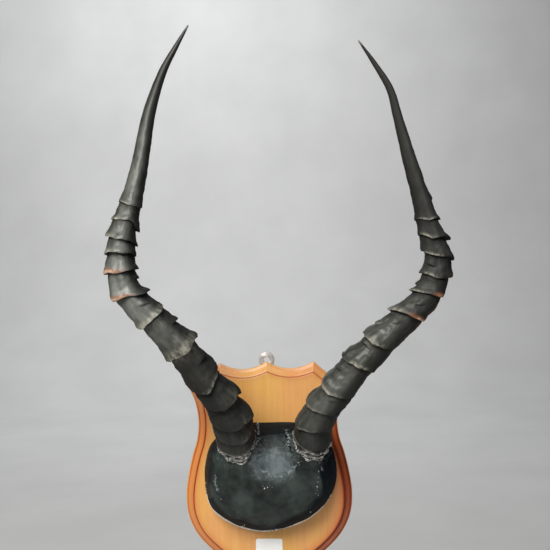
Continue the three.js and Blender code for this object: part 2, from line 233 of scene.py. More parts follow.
# The worked edge as (distance in from the outline, height above the back): bead and ogee, then the step.
SHIELD_OGEE = [(0, 8.5), (0.5, 9.7), (1.6, 10.3), (3.4, 11.3), (5.6, 13.2), (7.6, 14.9), (8.9, 15.7)]
SHIELD_STEP = [(9.25, 15.6), (9.5, 15.1), (9.8, 15.2), (9.95, 17.3), (10.2, 17.75), (10.7, 17.95), (11.4, 18)]
BACK_EDGE = [(0.5, 0), (0.12, 0.12), (0, 0.5)]  # how the edge of the back is rubbed down
FACE_INSETS = (12.6, 14.5, 17.5, 21)  # rows on the flat face that carry the stain's fading
CURVE_STEPS, SIDE_STEPS, OGEE_STEPS = 60, 20, 4  # points on a pulled curve, and between two given points
OUTLINE_STEPS = (44, 26, 150)  # along the scallop, the slant and the side
SHARP = math.radians(32)
# How heavily the stain lies, by the distance in from the outline: thin on the bead and deep in the step. The
# bare outer arris is a painted highlight, and the depth in the step is partly painted shade. Then how much
# more or less of it there is across the board, heavier to the right as painted shade, and up it. At the top,
# the worked edge is browner where stain is thin.
STAIN_AND_LIGHT_BY_INSET = [
    (0, 0.0), (0.5, 0.10), (1.5, 0.84), (2.4, 0.64), (4, 0.40), (7, 0.46), (8.9, 0.72), (9.3, 1),
    (9.95, 1), (10.4, 0.55), (12.6, 0.33), (14.5, 0.25), (17.5, 0.17), (21, 0.09),
]
STAIN_AND_SHADE_ACROSS = [(-100, 0.95), (0, 1.0), (60, 1.4), (100, 1.85)]
STAIN_UP = [(84, 1.0), (118, 0.35)]
STAINED_FROM = -8  # the back and the square edge behind the bead were left unstained
# Patterns as (cells per metre along each axis, detail, roughness, distortion); the wood's run up the board.
WOOD_GRAIN = ((260, 260, 7), 4, 0.6, 0.3)
WOOD_STREAK = ((52, 52, 2.2), 3, 0.5, 0.5)
WOOD_CLOUD = ((16, 16, 10), 3, 0.5)
WOOD_PORES = ((1500, 1500, 55), 2, 0.6)
# Colours by their place in the pattern that spreads them.
HONEY_WOOD = [(0.25, (0.68, 0.345, 0.085)), (0.5, (0.77, 0.410, 0.108)), (0.75, (0.80, 0.445, 0.135))]
SALMON_WOOD = [(0.3, (0.66, 0.275, 0.105)), (0.7, (0.75, 0.350, 0.155))]
GRAIN_LINES = [(0.30, (0.56, 0.25, 0.065)), (0.60, (0.79, 0.43, 0.13))]
# The stain's red, darkest where it is deepest in the step, partly as painted shade.
RED_STAIN_AND_SHADE = [(0.50, (0.52, 0.062, 0.010)), (1.0, (0.22, 0.022, 0.004))]
PORE_BROWN = (0.27, 0.090, 0.025)
TOP_BROWN = (0.36, 0.180, 0.080)

# The fittings that the board is cut for: the screws by their radii and lengths, with back the level of the
# head, and the hanger, a strap with a round eye.
CAP_SCREW = {"head": 4.6, "head_depth": 3, "shank": 2.4, "length": 38, "back": -0.8}
CAP_SCREW_PLACES = [(-42, 4), (46, 4), (2, -36)]
HANGER_SCREW = {"head": 3.4, "head_depth": 1.9, "shank": 1.6, "length": 12.5, "back": -0.6}
HANGER_SCREW_PLACES = [(0, 126), (0, 109)]
EYE_HEIGHT, EYE_RADIUS, EYE_HOLE = 145, 9.6, 3.7
STRAP_WIDTH, STRAP_FOOT, STRAP_CORNER = 17, 99, 4
PLATE_BACK, PLATE_THICKNESS = -0.3, 1.5
HOLE_SIDES, EYE_SIDES, CORNER_SIDES = 40, 64, 8
PILOT_CONE, PILOT_SPARE = 0.5, 1.2  # how soon a pilot hole narrows, and how far it goes on past the screw


def smooth_path(points, per_span, closed=False):
    """A centripetal Catmull-Rom curve through points; columns after the third only ride along."""
    rows = np.array(points, float)
    if closed:
        around = np.vstack([rows[-1:], rows, rows[:2]])
    else:
        around = np.vstack([2 * rows[0] - rows[1], rows, 2 * rows[-1] - rows[-2]])
    gaps = np.sqrt(np.linalg.norm(np.diff(around, axis=0)[:, :3], axis=1))[:, None]
    before, start, end, after = around[:-3], around[1:-2], around[2:-1], around[3:]
    d0, d1, d2 = gaps[:-2], gaps[1:-1], gaps[2:]
    leave = ((start - before) / d0 - (end - before) / (d0 + d1) + (end - start) / d1) * d1
    arrive = ((end - start) / d1 - (after - start) / (d1 + d2) + (after - end) / d2) * d1
    t = np.linspace(0, 1, per_span, endpoint=False)[:, None, None]
    bend = (t**3 - 2 * t**2 + t) * leave + (t**3 - t**2) * arrive
    path = (2 * t**3 - 3 * t**2 + 1) * start + (3 * t**2 - 2 * t**3) * end + bend
    path = path.transpose(1, 0, 2).reshape(-1, rows.shape[1])
    return path if closed else np.vstack([path, rows[-1]])


def arc_lengths(path):
    return np.concatenate([[0], np.cumsum(np.linalg.norm(np.diff(path, axis=0), axis=1))])


def evenly(path, count):
    """A path's points at count equal steps along it, both ends included."""
    travelled = arc_lengths(path)
    places = np.linspace(0, travelled[-1], count + 1)
    return np.column_stack([np.interp(places, travelled, column) for column in path.T])


def bezier(start, pull, end):
    t = np.linspace(0, 1, CURVE_STEPS)[:, None]
    return (1 - t) ** 2 * np.array(start) + 2 * t * (1 - t) * np.array(pull) + t**2 * np.array(end)


def shield_edges():
    """The six edges between the outline's corners, clockwise seen from the front, from the top peak."""
    scallop = bezier(SHIELD_PEAK, SHIELD_SCALLOP, SHIELD_CORNER)
    slant = bezier(SHIELD_CORNER, SHIELD_BEVEL, SHIELD_SIDE[0])
    lines = (scallop, slant, smooth_path(SHIELD_SIDE, SIDE_STEPS))
    right = [evenly(line, steps) for line, steps in zip(lines, OUTLINE_STEPS)]
    return right + [line[::-1] * (-1, 1) for line in right[::-1]]


def crossing(first, second):
    """Where two polylines cross, as places along each, counted in steps."""
    a, b = first[:-1, None], np.diff(first, axis=0)[:, None]
    c, d = second[None, :-1], np.diff(second, axis=0)[None, :]
    turn = b[..., 0] * d[..., 1] - b[..., 1] * d[..., 0]
    turn = np.where(np.abs(turn) < 1e-9, 1e-9, turn)
    gap = c - a
    on_first = (gap[..., 0] * d[..., 1] - gap[..., 1] * d[..., 0]) / turn
    on_second = (gap[..., 0] * b[..., 1] - gap[..., 1] * b[..., 0]) / turn
    inside = (on_first >= 0) & (on_first <= 1) & (on_second >= 0) & (on_second <= 1)
    i, j = np.argwhere(inside)[-1]
    return i + on_first[i, j], j + on_second[i, j]


def inset_outline(edges, distance):
    """The closed outline moved inwards, each corner cut off where its two moved edges cross."""
    if distance > 0:
        moved = []
        for edge in edges:
            along = np.gradient(edge, axis=0)
            inward = np.column_stack([along[:, 1], -along[:, 0]])
            moved.append(edge + distance * inward / np.linalg.norm(inward, axis=1)[:, None])
        ends = [crossing(edge, moved[(i + 1) % len(moved)]) for i, edge in enumerate(moved)]
        kept = []
        for i, edge in enumerate(moved):
            start, stop = ends[i - 1][1], ends[i][0]
            steps = np.concatenate([[start], np.arange(math.floor(start) + 1, math.ceil(stop)), [stop]])
            part = np.column_stack([np.interp(steps, np.arange(len(edge)), column) for column in edge.T])
            kept.append(evenly(part, len(edge) - 1))
        edges = kept
    return np.vstack([edge[:-1] for edge in edges])


def circle(x, z, radius):
    turns = np.linspace(0, 2 * math.pi, HOLE_SIDES, endpoint=False)
    return np.column_stack([x + radius * np.cos(turns), z + radius * np.sin(turns)])


def add_loop(skin, outline, y):
    """One closed row of corners at a depth y, from an outline in x and z."""
    return [skin.verts.new(Vector((x, y, z)) * MM) for x, z in outline]


def bridge(skin, rows):
    """Walls between closed rows of corners, each joined to the next."""
    for first, second in zip(rows, rows[1:]):
        for i, corner in enumerate(first):
            skin.faces.new((first[i - 1], corner, second[i], second[i - 1]))


def fill(skin, *rows):
    """A flat face inside the first row, with the other rows as holes in it."""
    corners = [corner for row in rows for corner in row]
    for triangle in tessellate_polygon([[corner.co for corner in row] for row in rows]):
        skin.faces.new([corners[i] for i in triangle])


def finished_mesh(name, skin, sharp=SHARP):
    """The skin as a closed, outward, smooth-shaded mesh with its sharp edges kept."""
    bmesh.ops.recalc_face_normals(skin, faces=skin.faces)
    data = bpy.data.meshes.new(name)
    skin.to_mesh(data)
    skin.free()
    data.shade_smooth()
    data.set_sharp_from_angle(angle=sharp)
    return new_object(name, data)


def drilled(skin, x, z, depths):
    """The wall of a round hole, from its (radius, y) rows."""
    hole = [add_loop(skin, circle(x, z, radius), y) for radius, y in depths]
    bridge(skin, hole)
    return hole


def store(thing, name, values):
    made = thing.data.attributes.new(name, "FLOAT", "POINT")
    made.data.foreach_set("value", np.asarray(values, np.float32))


def countersink(screw, deepest):
    """A screw's hole as (radius, y) rows from the back of the board, ending at the deepest y."""
    head, shank = screw["head"] + TOUCH, screw["shank"] + TOUCH
    return [(head, 0), (head, screw["back"]), (shank, screw["back"] - screw["head_depth"]), (shank, deepest)]


def strap_outline(grown):
    """The hanger's outline in x and z: a straight strap with round corners that ends in a round eye."""
    half, radius = STRAP_WIDTH / 2 + grown, EYE_RADIUS + grown
    neck = math.asin(half / radius)
    turns = np.linspace(neck - math.pi / 2, 1.5 * math.pi - neck, EYE_SIDES)
    eye = np.column_stack([radius * np.cos(turns), EYE_HEIGHT + radius * np.sin(turns)])
    corner = np.linspace(0, math.pi / 2, CORNER_SIDES)
    foot = STRAP_FOOT - grown + STRAP_CORNER
    inner = half - STRAP_CORNER
    left = np.column_stack([-inner - STRAP_CORNER * np.cos(corner), foot - STRAP_CORNER * np.sin(corner)])
    return np.vstack([eye, left, (left * (-1, 1))[::-1]])


def settled(thing, name):
    """The object's evaluated shape as a plain mesh object; the maker object goes."""
    shape = thing.evaluated_get(bpy.context.evaluated_depsgraph_get())
    data = bpy.data.meshes.new_from_object(shape)
    bpy.data.objects.remove(thing)
    data.name = name
    return new_object(name, data)


def pocket_cutter():
    """The hanger's pocket with its two pilot holes, as the solid that is cut away."""
    skin = bmesh.new()
    floor = -PLATE_THICKNESS - 2 * TOUCH
    pocket = [add_loop(skin, strap_outline(1.5 * TOUCH), y) for y in (1, floor)]
    bridge(skin, pocket)
    pilots = []
    for x, z in HANGER_SCREW_PLACES:
        wide, narrow = HANGER_SCREW["shank"] + 2 * TOUCH, HANGER_SCREW["shank"] + TOUCH
        deepest = -HANGER_SCREW["length"] - PILOT_SPARE
        depths = ((wide, floor), (narrow, floor - PILOT_CONE), (narrow, deepest))
        pilot = drilled(skin, x, z, depths)
        fill(skin, pilot[-1])
        pilots.append(pilot[0])
    fill(skin, pocket[0])
    fill(skin, pocket[1], *pilots)
    return finished_mesh("pocket_cutter", skin)


def shield_mesh():
    skin = bmesh.new()
    edges = shield_edges()
    ogee = [tuple(point) for point in smooth_path(SHIELD_OGEE, OGEE_STEPS)]
    face = [(distance, SHIELD_THICKNESS) for distance in FACE_INSETS]
    sections = [*BACK_EDGE, *ogee, *SHIELD_STEP, *face]
    rows = [add_loop(skin, inset_outline(edges, distance), -height) for distance, height in sections]
    bridge(skin, rows)
    depths = countersink(CAP_SCREW, -SHIELD_THICKNESS)
    holes = [drilled(skin, x, z, depths) for x, z in CAP_SCREW_PLACES]
    fill(skin, rows[0], *(hole[0] for hole in holes))
    fill(skin, rows[-1], *(hole[-1] for hole in holes))
    board = finished_mesh("board", skin)
    cutter = pocket_cutter()
    pocket = board.modifiers.new("pocket", "BOOLEAN")
    pocket.operation = "DIFFERENCE"
    pocket.solver = "EXACT"
    pocket.object = cutter
    board = settled(board, "varnished_shield")
    bpy.data.objects.remove(cutter)
    board.data.shade_smooth()
    board.data.set_sharp_from_angle(angle=SHARP)
    return board


def off_path(flat, path):
    """How far each point is from a path in the same plane."""
    nearest = np.full(len(flat), np.inf)
    for start, end in zip(path, path[1:]):
        run = end - start
        share = np.clip((flat - start) @ run / (run @ run), 0, 1)
        nearest = np.minimum(nearest, np.linalg.norm(flat - start - share[:, None] * run, axis=1))
    return nearest


def patterns(tree, vector, *given):
    """Several patterns over the same places."""
    return [grain_noise(tree, vector, *pattern) for pattern in given]


def by_place(places, given):
    """Values at any places, from rows of (place, value), straight in between and level beyond."""
    return np.interp(places, *np.array(given).T)


def shield_stain_and_light(thing):
    """How dark the stain and its painted light lie at each point of the board, and how brown its top edge is.
    """
    places = np.array([corner.co for corner in thing.data.vertices]) / MM
    outline = inset_outline(shield_edges(), 0)
    inward = off_path(places[:, [0, 2]], np.vstack([outline, outline[:1]]))
    worked = by_place(inward, STAIN_AND_LIGHT_BY_INSET) * (places[:, 1] < STAINED_FROM)
    up = by_place(places[:, 2], STAIN_UP)
    return {"stain_and_light": worked * by_place(places[:, 0], STAIN_AND_SHADE_ACROSS) * up, "top_brown": worked * (1 - up)}


def varnished_wood():
    made, tree, shader = finish_tree(
        "varnished_wood", Coat_Weight=0.15, Coat_Roughness=0.25, Specular_IOR_Level=0.35)
    fine, streak, cloud, pores = patterns(
        tree, object_place(tree), WOOD_GRAIN, WOOD_STREAK, WOOD_CLOUD, WOOD_PORES)
    honey = ramp(tree, streak, *HONEY_WOOD)
    salmon = ramp(tree, streak, *SALMON_WOOD)
    wood = blend(tree, ramp(tree, cloud, (0.38, 0.0), (0.62, 0.85)), honey, salmon)
    wood = blend(tree, 0.22, wood, ramp(tree, fine, *GRAIN_LINES))
    wood = blend(tree, ramp(tree, pores, (0.62, 0.0), (0.74, 0.40)), wood, PORE_BROWN)
    # The stain carries painted shade in the step and on the right, and a painted highlight on the bare arris.
    uneven = maths(tree, "MULTIPLY_ADD", streak, 0.35, -0.175)
    depth = maths(tree, "ADD", attribute(tree, "stain_and_light"), uneven)
    stain_and_light = ramp(tree, depth, (0.12, 0.0), (0.42, 0.42), (0.75, 0.86), (1.0, 0.97))
    # A browner top edge where the stain thins.
    wood = blend(tree, times(tree, attribute(tree, "top_brown"), 0.9), wood, TOP_BROWN)
    wood = blend(tree, stain_and_light, wood, ramp(tree, depth, *RED_STAIN_AND_SHADE))
    rough = ramp(tree, fine, (0.2, 0.30), (0.8, 0.44))
    wire(tree, shader, wood, rough, bump(tree, blend(tree, 0.4, fine, pores), 0.0002, 0.25))
    return made


shield = shield_mesh()
for finish, values in shield_stain_and_light(shield).items():
    store(shield, finish, values)
shield.data.materials.append(varnished_wood())
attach(shield, "root")
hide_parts("shield_plaque")

# ---- horns -------------------------------------------------------------------------------------------------
# Each horn is a sheath of dark keratin that grew on the skull's bony core, bell after bell, the tip first.
# Every bell ends in a rolled lip with a sharp step under it, and fine fibres run the whole length. The crusty
# root sits tight in its stump of the skull cap.

# The spine as (x, y, z, radius in the hollow between two rings), from the root in the skull cap to the tip.
LEFT_SPINE = [
    (-34, -45, 47, 20.5), (-36, -58, 57, 21), (-41, -78, 80, 20.5), (-53, -98, 113, 18.5),
    (-71, -109, 138, 17.5), (-91, -117, 169, 17.5), (-125, -122, 207, 16), (-146, -123, 230, 15.5),
    (-155, -122, 255, 14.5), (-155, -120, 275, 14), (-153, -118, 296, 13.2), (-148, -114, 316, 12.2),
    (-143, -110, 335, 11.3), (-137, -103, 364, 10.2), (-132, -95, 394, 8.9), (-125, -85, 436, 7.2),
    (-110, -75, 483, 4.7), (-96, -71, 510, 3.1), (-81, -69, 536, 0.9),
]
RIGHT_SPINE = [
    (49, -45, 48, 20.5), (52, -58, 59, 21), (56, -76, 79, 20), (65, -89, 98, 18.5), (79, -101, 118, 18),
    (96, -111, 141, 17.5), (117, -117, 163, 17), (156, -123, 201, 16), (177, -123, 222, 15),
    (187, -122, 244, 14.2), (189, -120, 267, 13.6), (184, -118, 287, 12.8), (180, -114, 305, 11.6),
    (176, -110, 324, 10.6), (169, -103, 354, 9.2), (160, -92, 396, 7), (154, -85, 425, 5.5),
    (147, -79, 456, 4.4), (131, -74, 486, 3), (113, -71, 514, 0.8),
]
# Turns go round a horn in degrees, with 0 in front, -90 at its left and 90 at its right as the mount is seen.
# Each growth ring: the lip's distance from the root at the turns of RING_TURNS, then how far it stands out at
# the left, in front and at the right.
RING_TURNS = (-90, -45, 0, 45, 90)
LEFT_RINGS = [
    (24, 22, 21, 23, 26, 1.6, 2.4, 3.4), (44, 41, 39, 42, 42, 1.2, 3.8, 5.0),
    (68, 64, 61, 59, 58, 0.9, 4.6, 6.2), (93, 90, 88, 87, 84, 0.8, 4.8, 6.4),
    (120, 115, 111, 118, 126, 1.0, 4.4, 5.4), (162, 157, 157, 160, 163, 3.6, 4.8, 5.4),
    (212, 208, 205, 204, 210, 4.0, 4.0, 2.2), (248, 244, 241, 233, 232, 4.4, 3.8, 4.4),
    (269, 269, 267, 269, 272, 4.6, 3.6, 4.8), (289, 289, 289, 288, 286, 4.0, 3.6, 5.0),
    (307, 306, 304, 303, 300, 3.6, 3.4, 4.8), (325, 323, 322, 323, 320, 2.8, 2.4, 3.6),
    (346, 343, 341, 342, 344, 1.6, 1.2, 1.6),
]
RIGHT_RINGS = [
    (24, 25, 26, 31, 36, 2.6, 2.4, 1.0), (45, 46, 51, 57, 62, 4.0, 3.6, 1.0),
    (71, 72, 77, 84, 89, 4.4, 4.0, 0.8), (103, 101, 102, 106, 110, 5.0, 4.6, 0.7),
    (137, 134, 139, 145, 150, 4.6, 4.2, 0.5), (167, 169, 171, 176, 183, 4.6, 4.2, 0.5),
    (204, 210, 216, 220, 223, 4.6, 4.2, 0.7), (236, 240, 246, 249, 251, 3.8, 3.6, 1.2),
    (268, 266, 264, 267, 271, 2.8, 3.6, 3.8), (300, 296, 288, 288, 285, 3.4, 3.8, 4.8),
    (317, 315, 307, 307, 305, 3.0, 3.6, 4.6), (333, 332, 327, 328, 328, 2.0, 2.2, 2.8),
]
BACK_SHARE = 0.55  # how far a lip stands out at the back, over the mean of its two sides
# Short ridges that fade out before they get round: (middle turn, half width, distance from the root, slant
# per degree, height).
LEFT_RIDGES = [
    (80, 34, 188, 0.05, 5.1), (-45, 36, 82, 0, 2.7), (88, 30, 256, 0, 3.9), (60, 40, 141, 0.06, 2.7),
    (25, 34, 222, -0.15, 2.7), (70, 36, 72, -0.1, 3.3), (75, 30, 101, 0.12, 3.6),
]
RIGHT_RIDGES = [
    (-50, 42, 161, 0, 4.2), (-88, 30, 184, 0, 3.9), (-88, 28, 249, 0, 3.3), (-40, 34, 278, -0.12, 3.9),
    (86, 24, 329, 0, 1.8), (86, 24, 352, 0, 1.35), (-10, 26, 228, 0.2, 2.7), (-70, 34, 122, 0.08, 3.0),
    (-5, 30, 93, 0.2, 2.4),
]
# The burr: thin ridges crowded round the root, as (distance, slant per degree, height).
BURR = [
    (4.0, 0.010, 1.8), (8.0, -0.008, 2.2), (11.4, 0.010, 2.6), (14.6, -0.008, 2.8), (17.6, 0.006, 2.4),
    (20.2, -0.004, 1.8),
]
BURR_SHARPNESS = 2.6  # how much narrower than a growth ring's lip they are
# How much they wander and how deeply they are nicked, each with the size of its waves.
BURR_WAVE, BURR_BENDS = 1.3, 2.2
BURR_NICK_WAVE, BURR_NICKS = 2.6, 1.2
# Lips rubbed down to brown keratin: (ring, counted from the root, middle turn, half width, how strong).
LEFT_WORN = [(8, -48, 78, 1.0), (7, -46, 74, 1.0)]
RIGHT_WORN = [(6, 34, 54, 0.9), (7, 38, 38, 0.85), (8, 78, 36, 0.4)]
WORN_MIDDLE, WORN_HALF = 0.9, 1.9  # the rubbed band's middle above the lip's edge, and its half width
# Lips scuffed pale, partly a painted highlight where the light falls on them: the same, and then how far up
# the bell the pale reaches.
LEFT_SCUFFS_AND_HIGHLIGHTS = [
    (6, 0, 112, 1.0, 3.0), (5, 0, 115, 0.6, 7.5), (5, 0, 115, 0.8, 2.0), (9, -50, 62, 1.0, 1.5),
    (11, -42, 52, 0.9, 1.2), (12, -40, 50, 0.8, 1.1), (10, -36, 56, 1.0, 1.3), (4, 15, 60, 0.7, 2.2),
    (3, 46, 40, 0.30, 5.5), (8, 5, 40, 0.7, 1.2), (2, 48, 40, 0.28, 5.5), (1, 40, 44, 0.25, 4.0),
]
RIGHT_SCUFFS_AND_HIGHLIGHTS = [
    (3, -35, 62, 1.0, 2.6), (4, -5, 46, 1.0, 2.8), (5, -20, 44, 1.0, 3.0), (6, -60, 50, 0.9, 2.6),
    (7, -60, 60, 0.7, 1.8), (2, -30, 50, 0.5, 1.6), (1, -35, 45, 0.4, 1.6), (9, -22, 50, 0.9, 1.2),
    (8, -30, 44, 0.8, 1.2), (10, -22, 50, 0.9, 1.2), (11, -10, 56, 0.8, 1.2), (0, -50, 50, 0.5, 1.6),
]
SCUFF_AND_HIGHLIGHT_MIDDLE = 0.6  # the middle of the scuffed band, partly painted highlight, above the lip's edge
# One ring's cut through the lip: (distance towards the tip, share of its height).
RING_PROFILE = [
    (-3.2, 0.0), (-2.4, 0.03), (-1.5, 0.24), (-0.7, 0.74), (0.0, 0.97), (0.9, 1.04), (2.0, 1.0), (3.2, 0.82),
    (4.6, 0.62), (6.6, 0.48), (9.5, 0.38), (13.0, 0.25), (17.5, 0.11), (24.0, 0.0),
]
PROFILE_START, PROFILE_END = RING_PROFILE[0][0], RING_PROFILE[-1][0]
# How far a lip leans over the step below it, over how far it stands out; the lean's middle and half width.
LIP_LEAN, LEAN_MIDDLE, LEAN_HALF = 0.5, 0.6, 2.6
LIP_TOP = 0.5  # a lip is at its highest this far above its line
# How much the lips wander and how unevenly they stand out, in broad waves and in short ones.
BROAD_WAVE, SHORT_WAVE = 0.9, 3
LIP_BENDS, LIP_UNEVEN = (3.4, 0.9), (0.9, 0.16)
WORN_BENDS = 0.2  # a rubbed lip wanders less, by this share
RIDGE_ROUND = 0.7  # below 1, a ridge keeps its height further round before it fades
BELL_SHIFT = 41  # how far the lumps and fibres of one bell are out of step with the next bell's
HORN_DEPTH = 1.08  # front to back over side to side, at the root
HORN_FIT = 0.985  # the smooth horn's radius over the spine's, which leaves room for the lumps
# The front crest and the two hollows beside it: (turn from the crest, half width, share of the radius).
CREST = [(0, 18, 0.08), (-48, 28, -0.05), (46, 28, -0.055)]
CREST_FADES = 0.5  # how much of the crest is lost at the tip
SPINE_STEPS, RING_STEPS = 40, 20  # points between two given points of the spine, and of a ring
HORN_SIDES = 128
LIP_ROWS = (0.0, 0.4, 0.8, 1.3, 1.8, 2.4, 3.0)  # rows just above a lip
STEP_ROWS = (3.2, 2.7, 2.2, 1.75, 1.3, 0.95, 0.6, 0.3)  # rows in the step under the next lip
BELL_ROW_GAP = 1.15
TIP_ROW_GAP = 1.9
TIP_START = 17  # how far past the last ring the smooth rows begin
TIP_LEVELLED = 12  # the rows in which the last lip's line is levelled out
TIP_END = 0.4  # how far the last row is from the point
ROOT_ROWS = 26
# A round bell keeps its full girth longer above its lip than a flared one: it falls away at this share of the
# flared bell's rate at first, and at the full rate this far up.
ROUND_START, ROUND_REACH = 0.32, 20
# How much painted shade darkens each horn, by the distance from its root, and then by the turn round it.
LEFT_SHADE_ALONG = [(0, 0.35), (22, 0.45), (50, 0.80), (70, 0.97), (138, 0.97), (160, 0.60), (200, 0.2), (215, 0.0)]
RIGHT_SHADE_ALONG = [
    (0, 0.5), (30, 0.6), (60, 0.2), (95, 0.1), (180, 0.0), (215, 0.30), (260, 0.50), (300, 0.70), (340, 1.0),
    (380, 1.0),
]
SHADE_ROUND = [(-180, 1), (-20, 1), (12, 0.78), (60, 0.78), (85, 1), (180, 1)]
LEE_SHADE, LEE_END = 0.96, 150  # how dark the painted shade is on the side turned from the light, and the turn where it ends
# How strong the painted highlight is on each horn, by the distance from its root, and the turns it spans.
LEFT_HIGHLIGHT = [(150, 0), (185, 0.30), (225, 0.55), (245, 0.85), (268, 0.75), (300, 0.35), (420, 0.15), (480, 0)]
RIGHT_HIGHLIGHT = [(50, 0), (70, 0.22), (110, 0.22), (140, 0.08), (215, 0)]
HIGHLIGHT_MIDDLE, HIGHLIGHT_HALF = -10, 80
# round_bells is how many bells, from the root, are round ones. crest is the turn of the front crest. lee is
# the turn where painted shade starts on the side turned from the light, and how much further round it is
# darkest. The flank patch is a painted brown reflection of the wood: (middle turn, half width, start and end
# from the root, how strong).
HORNS = {
    "left": {
        "spine": LEFT_SPINE, "rings": LEFT_RINGS, "round_bells": 5, "ridges": LEFT_RIDGES, "crest": 17,
        "worn": LEFT_WORN, "scuffed": LEFT_SCUFFS_AND_HIGHLIGHTS, "shade_along": LEFT_SHADE_ALONG, "painted_highlight": LEFT_HIGHLIGHT, "lee": (14, 38),
        "flank_reflection": (70, 50, 20, 60, 0.3), "seed": 3,
    },
    "right": {
        "spine": RIGHT_SPINE, "rings": RIGHT_RINGS, "round_bells": 6, "ridges": RIGHT_RIDGES, "crest": 35,
        "worn": RIGHT_WORN, "scuffed": RIGHT_SCUFFS_AND_HIGHLIGHTS, "shade_along": RIGHT_SHADE_ALONG, "painted_highlight": RIGHT_HIGHLIGHT,
        "lee": (-14, 34), "flank_reflection": (88, 62, 175, 262, 0.9), "seed": 8,
    },
}
# Patterns in the horn's shape and then in its colours, with cells per millimetre across, across and along it.
LUMPY, FIBROUS = ((0.075, 0.075, 0.085), 3, 0.5), ((0.50, 0.50, 0.022), 3, 0.6)
CRUSTY = ((0.16, 0.16, 0.42), 4, 0.6)
FIBRE_LINES, CLOUDS = ((0.62, 0.62, 0.028), 5, 0.65), ((0.11, 0.11, 0.05), 3, 0.55)
BLOTCHES, GLINT_SPOTS = ((0.30, 0.30, 0.20), 4, 0.6), ((0.30, 0.30, 0.75), 5, 0.7)
CRACKS = ((0.7, 0.7, 0.016), 3, 0.55, 0.2)
# Where the lumps and fibres start to calm down and where they have, as shares of the length; what is left.
CALM_START, CALM_END, CALM_LEFT = 0.55, 0.80, 0.12
CRUST_FULL = 10.0  # the crust is at its thickest up to this far from the root
# The keratin's colours: its own, then what growth, wear and dirt have laid over it, and painted light: a
# highlight, shade in the hollows, in the steps and on the turned-away sides, a brown reflection on a flank,
# and glints on the crust.
KERATIN = [(0.32, (0.012, 0.013, 0.011)), (0.52, (0.038, 0.040, 0.034)), (0.72, (0.092, 0.096, 0.081))]
FIBRES = [(0.34, (0.010, 0.010, 0.008)), (0.66, (0.120, 0.123, 0.106))]
WORN_BROWN = [(0.50, (0.25, 0.095, 0.045)), (0.82, (0.36, 0.195, 0.120)), (1.0, (0.47, 0.345, 0.255))]
CRACK_BLACK = (0.008, 0.008, 0.007)
HIGHLIGHT_GREY = (0.235, 0.245, 0.225)
RUBBED_GREY = (0.20, 0.195, 0.160)
SHADE_BLACK = (0.0060, 0.0055, 0.0045)
FLANK_REFLECTION = (0.085, 0.022, 0.011)
HOLLOW_SHADE = (0.0035, 0.0035, 0.003)
SCUFF_AND_HIGHLIGHT_PALE = (0.40, 0.385, 0.315)
STEP_SHADE = (0.005, 0.005, 0.004)
TIP_BLACK = (0.014, 0.0135, 0.012)
POINT_PALE = (0.30, 0.28, 0.25)
CRUST_DARK, CRUST_PALE_AND_HIGHLIGHT, CRUST_GLINT = (0.016, 0.015, 0.012), (0.36, 0.355, 0.33), (0.90, 0.88, 0.84)


def horn_spine(rows):
    """A spine's length, and its centre, front, side and radius at any distances from the root."""
    path = smooth_path(rows, SPINE_STEPS)
    travelled = arc_lengths(path[:, :3])
    along = np.gradient(path[:, :3], axis=0)
    along /= np.linalg.norm(along, axis=1)[:, None]
    front = np.array([0.0, -1, 0]) + along[:, 1:2] * along
    front /= np.linalg.norm(front, axis=1)[:, None]
    columns = np.column_stack([path[:, :3], front, np.cross(along, front), path[:, 3], along])

    def at(distance):
        found = np.stack([np.interp(distance, travelled, column) for column in columns.T], axis=-1)
        centre = found[..., 0:3] + np.minimum(distance, 0)[..., None] * found[..., 10:13]
        return centre, found[..., 3:6], found[..., 6:9], found[..., 9]

    return travelled[-1], at


def round_horn(front_turns, values, back, turns):
    """A value given at some turns of the front and midway round the back, smooth at any turns between."""
    left, right = values[0], values[-1]
    knots = [-270, -180, *front_turns, 180, 270]
    line = smooth_path(list(zip(knots, [right, back, *values, back, left])), RING_STEPS)
    return np.interp(turns, line[:, 0], line[:, 1])


def ring_line(ring, turns):
    """A lip's distance from the root at any turns."""
    return round_horn(RING_TURNS, ring[:5], (ring[0] + ring[4]) / 2, turns)


def ring_height(ring, turns):
    """How far a lip stands out at any turns."""
    left, front, right = ring[5:]
    return round_horn((-90, 0, 90), (left, front, right), BACK_SHARE * (left + right) / 2, turns)


def window(turns, middle, half):
    """1 at the middle turn, falling smoothly to 0 at half a width away."""
    away = np.abs((turns - middle + 180) % 360 - 180) / half
    return np.where(away < 1, np.cos(np.minimum(away, 1) * math.pi / 2) ** 2, 0)


def horn_rows(lines, length):
    """The grid's distances from the root, row by row, so that every lip lies along a row."""
    first = lines[0]
    rows = [first * share for share in np.linspace(0, 1, ROOT_ROWS, endpoint=False)]
    rows = [np.minimum(row, first - STEP_ROWS[0] * (1 - i / ROOT_ROWS)) for i, row in enumerate(rows)]
    rows += [first - below for below in STEP_ROWS[1:]]
    for line, following in zip(lines, lines[1:]):
        rows += [line + above for above in LIP_ROWS]
        start, stop = line + LIP_ROWS[-1], following - STEP_ROWS[0]
        count = max(3, round(float(np.mean(stop - start)) / BELL_ROW_GAP))
        rows += [start + (stop - start) * i / count for i in range(1, count)]
        rows += [following - below for below in STEP_ROWS]
    last = lines[-1]
    rows += [last + above for above in LIP_ROWS]
    level = float(np.max(last)) + TIP_START
    end = length - TIP_END
    count = round((length - level) / TIP_ROW_GAP)
    rows += [rows[-1] + (level - rows[-1]) * share for share in np.linspace(0, 1, TIP_LEVELLED)[1:]]
    rows += [np.full_like(last, level + (end - level) * i / count) for i in range(1, count + 1)]
    return np.array(rows)


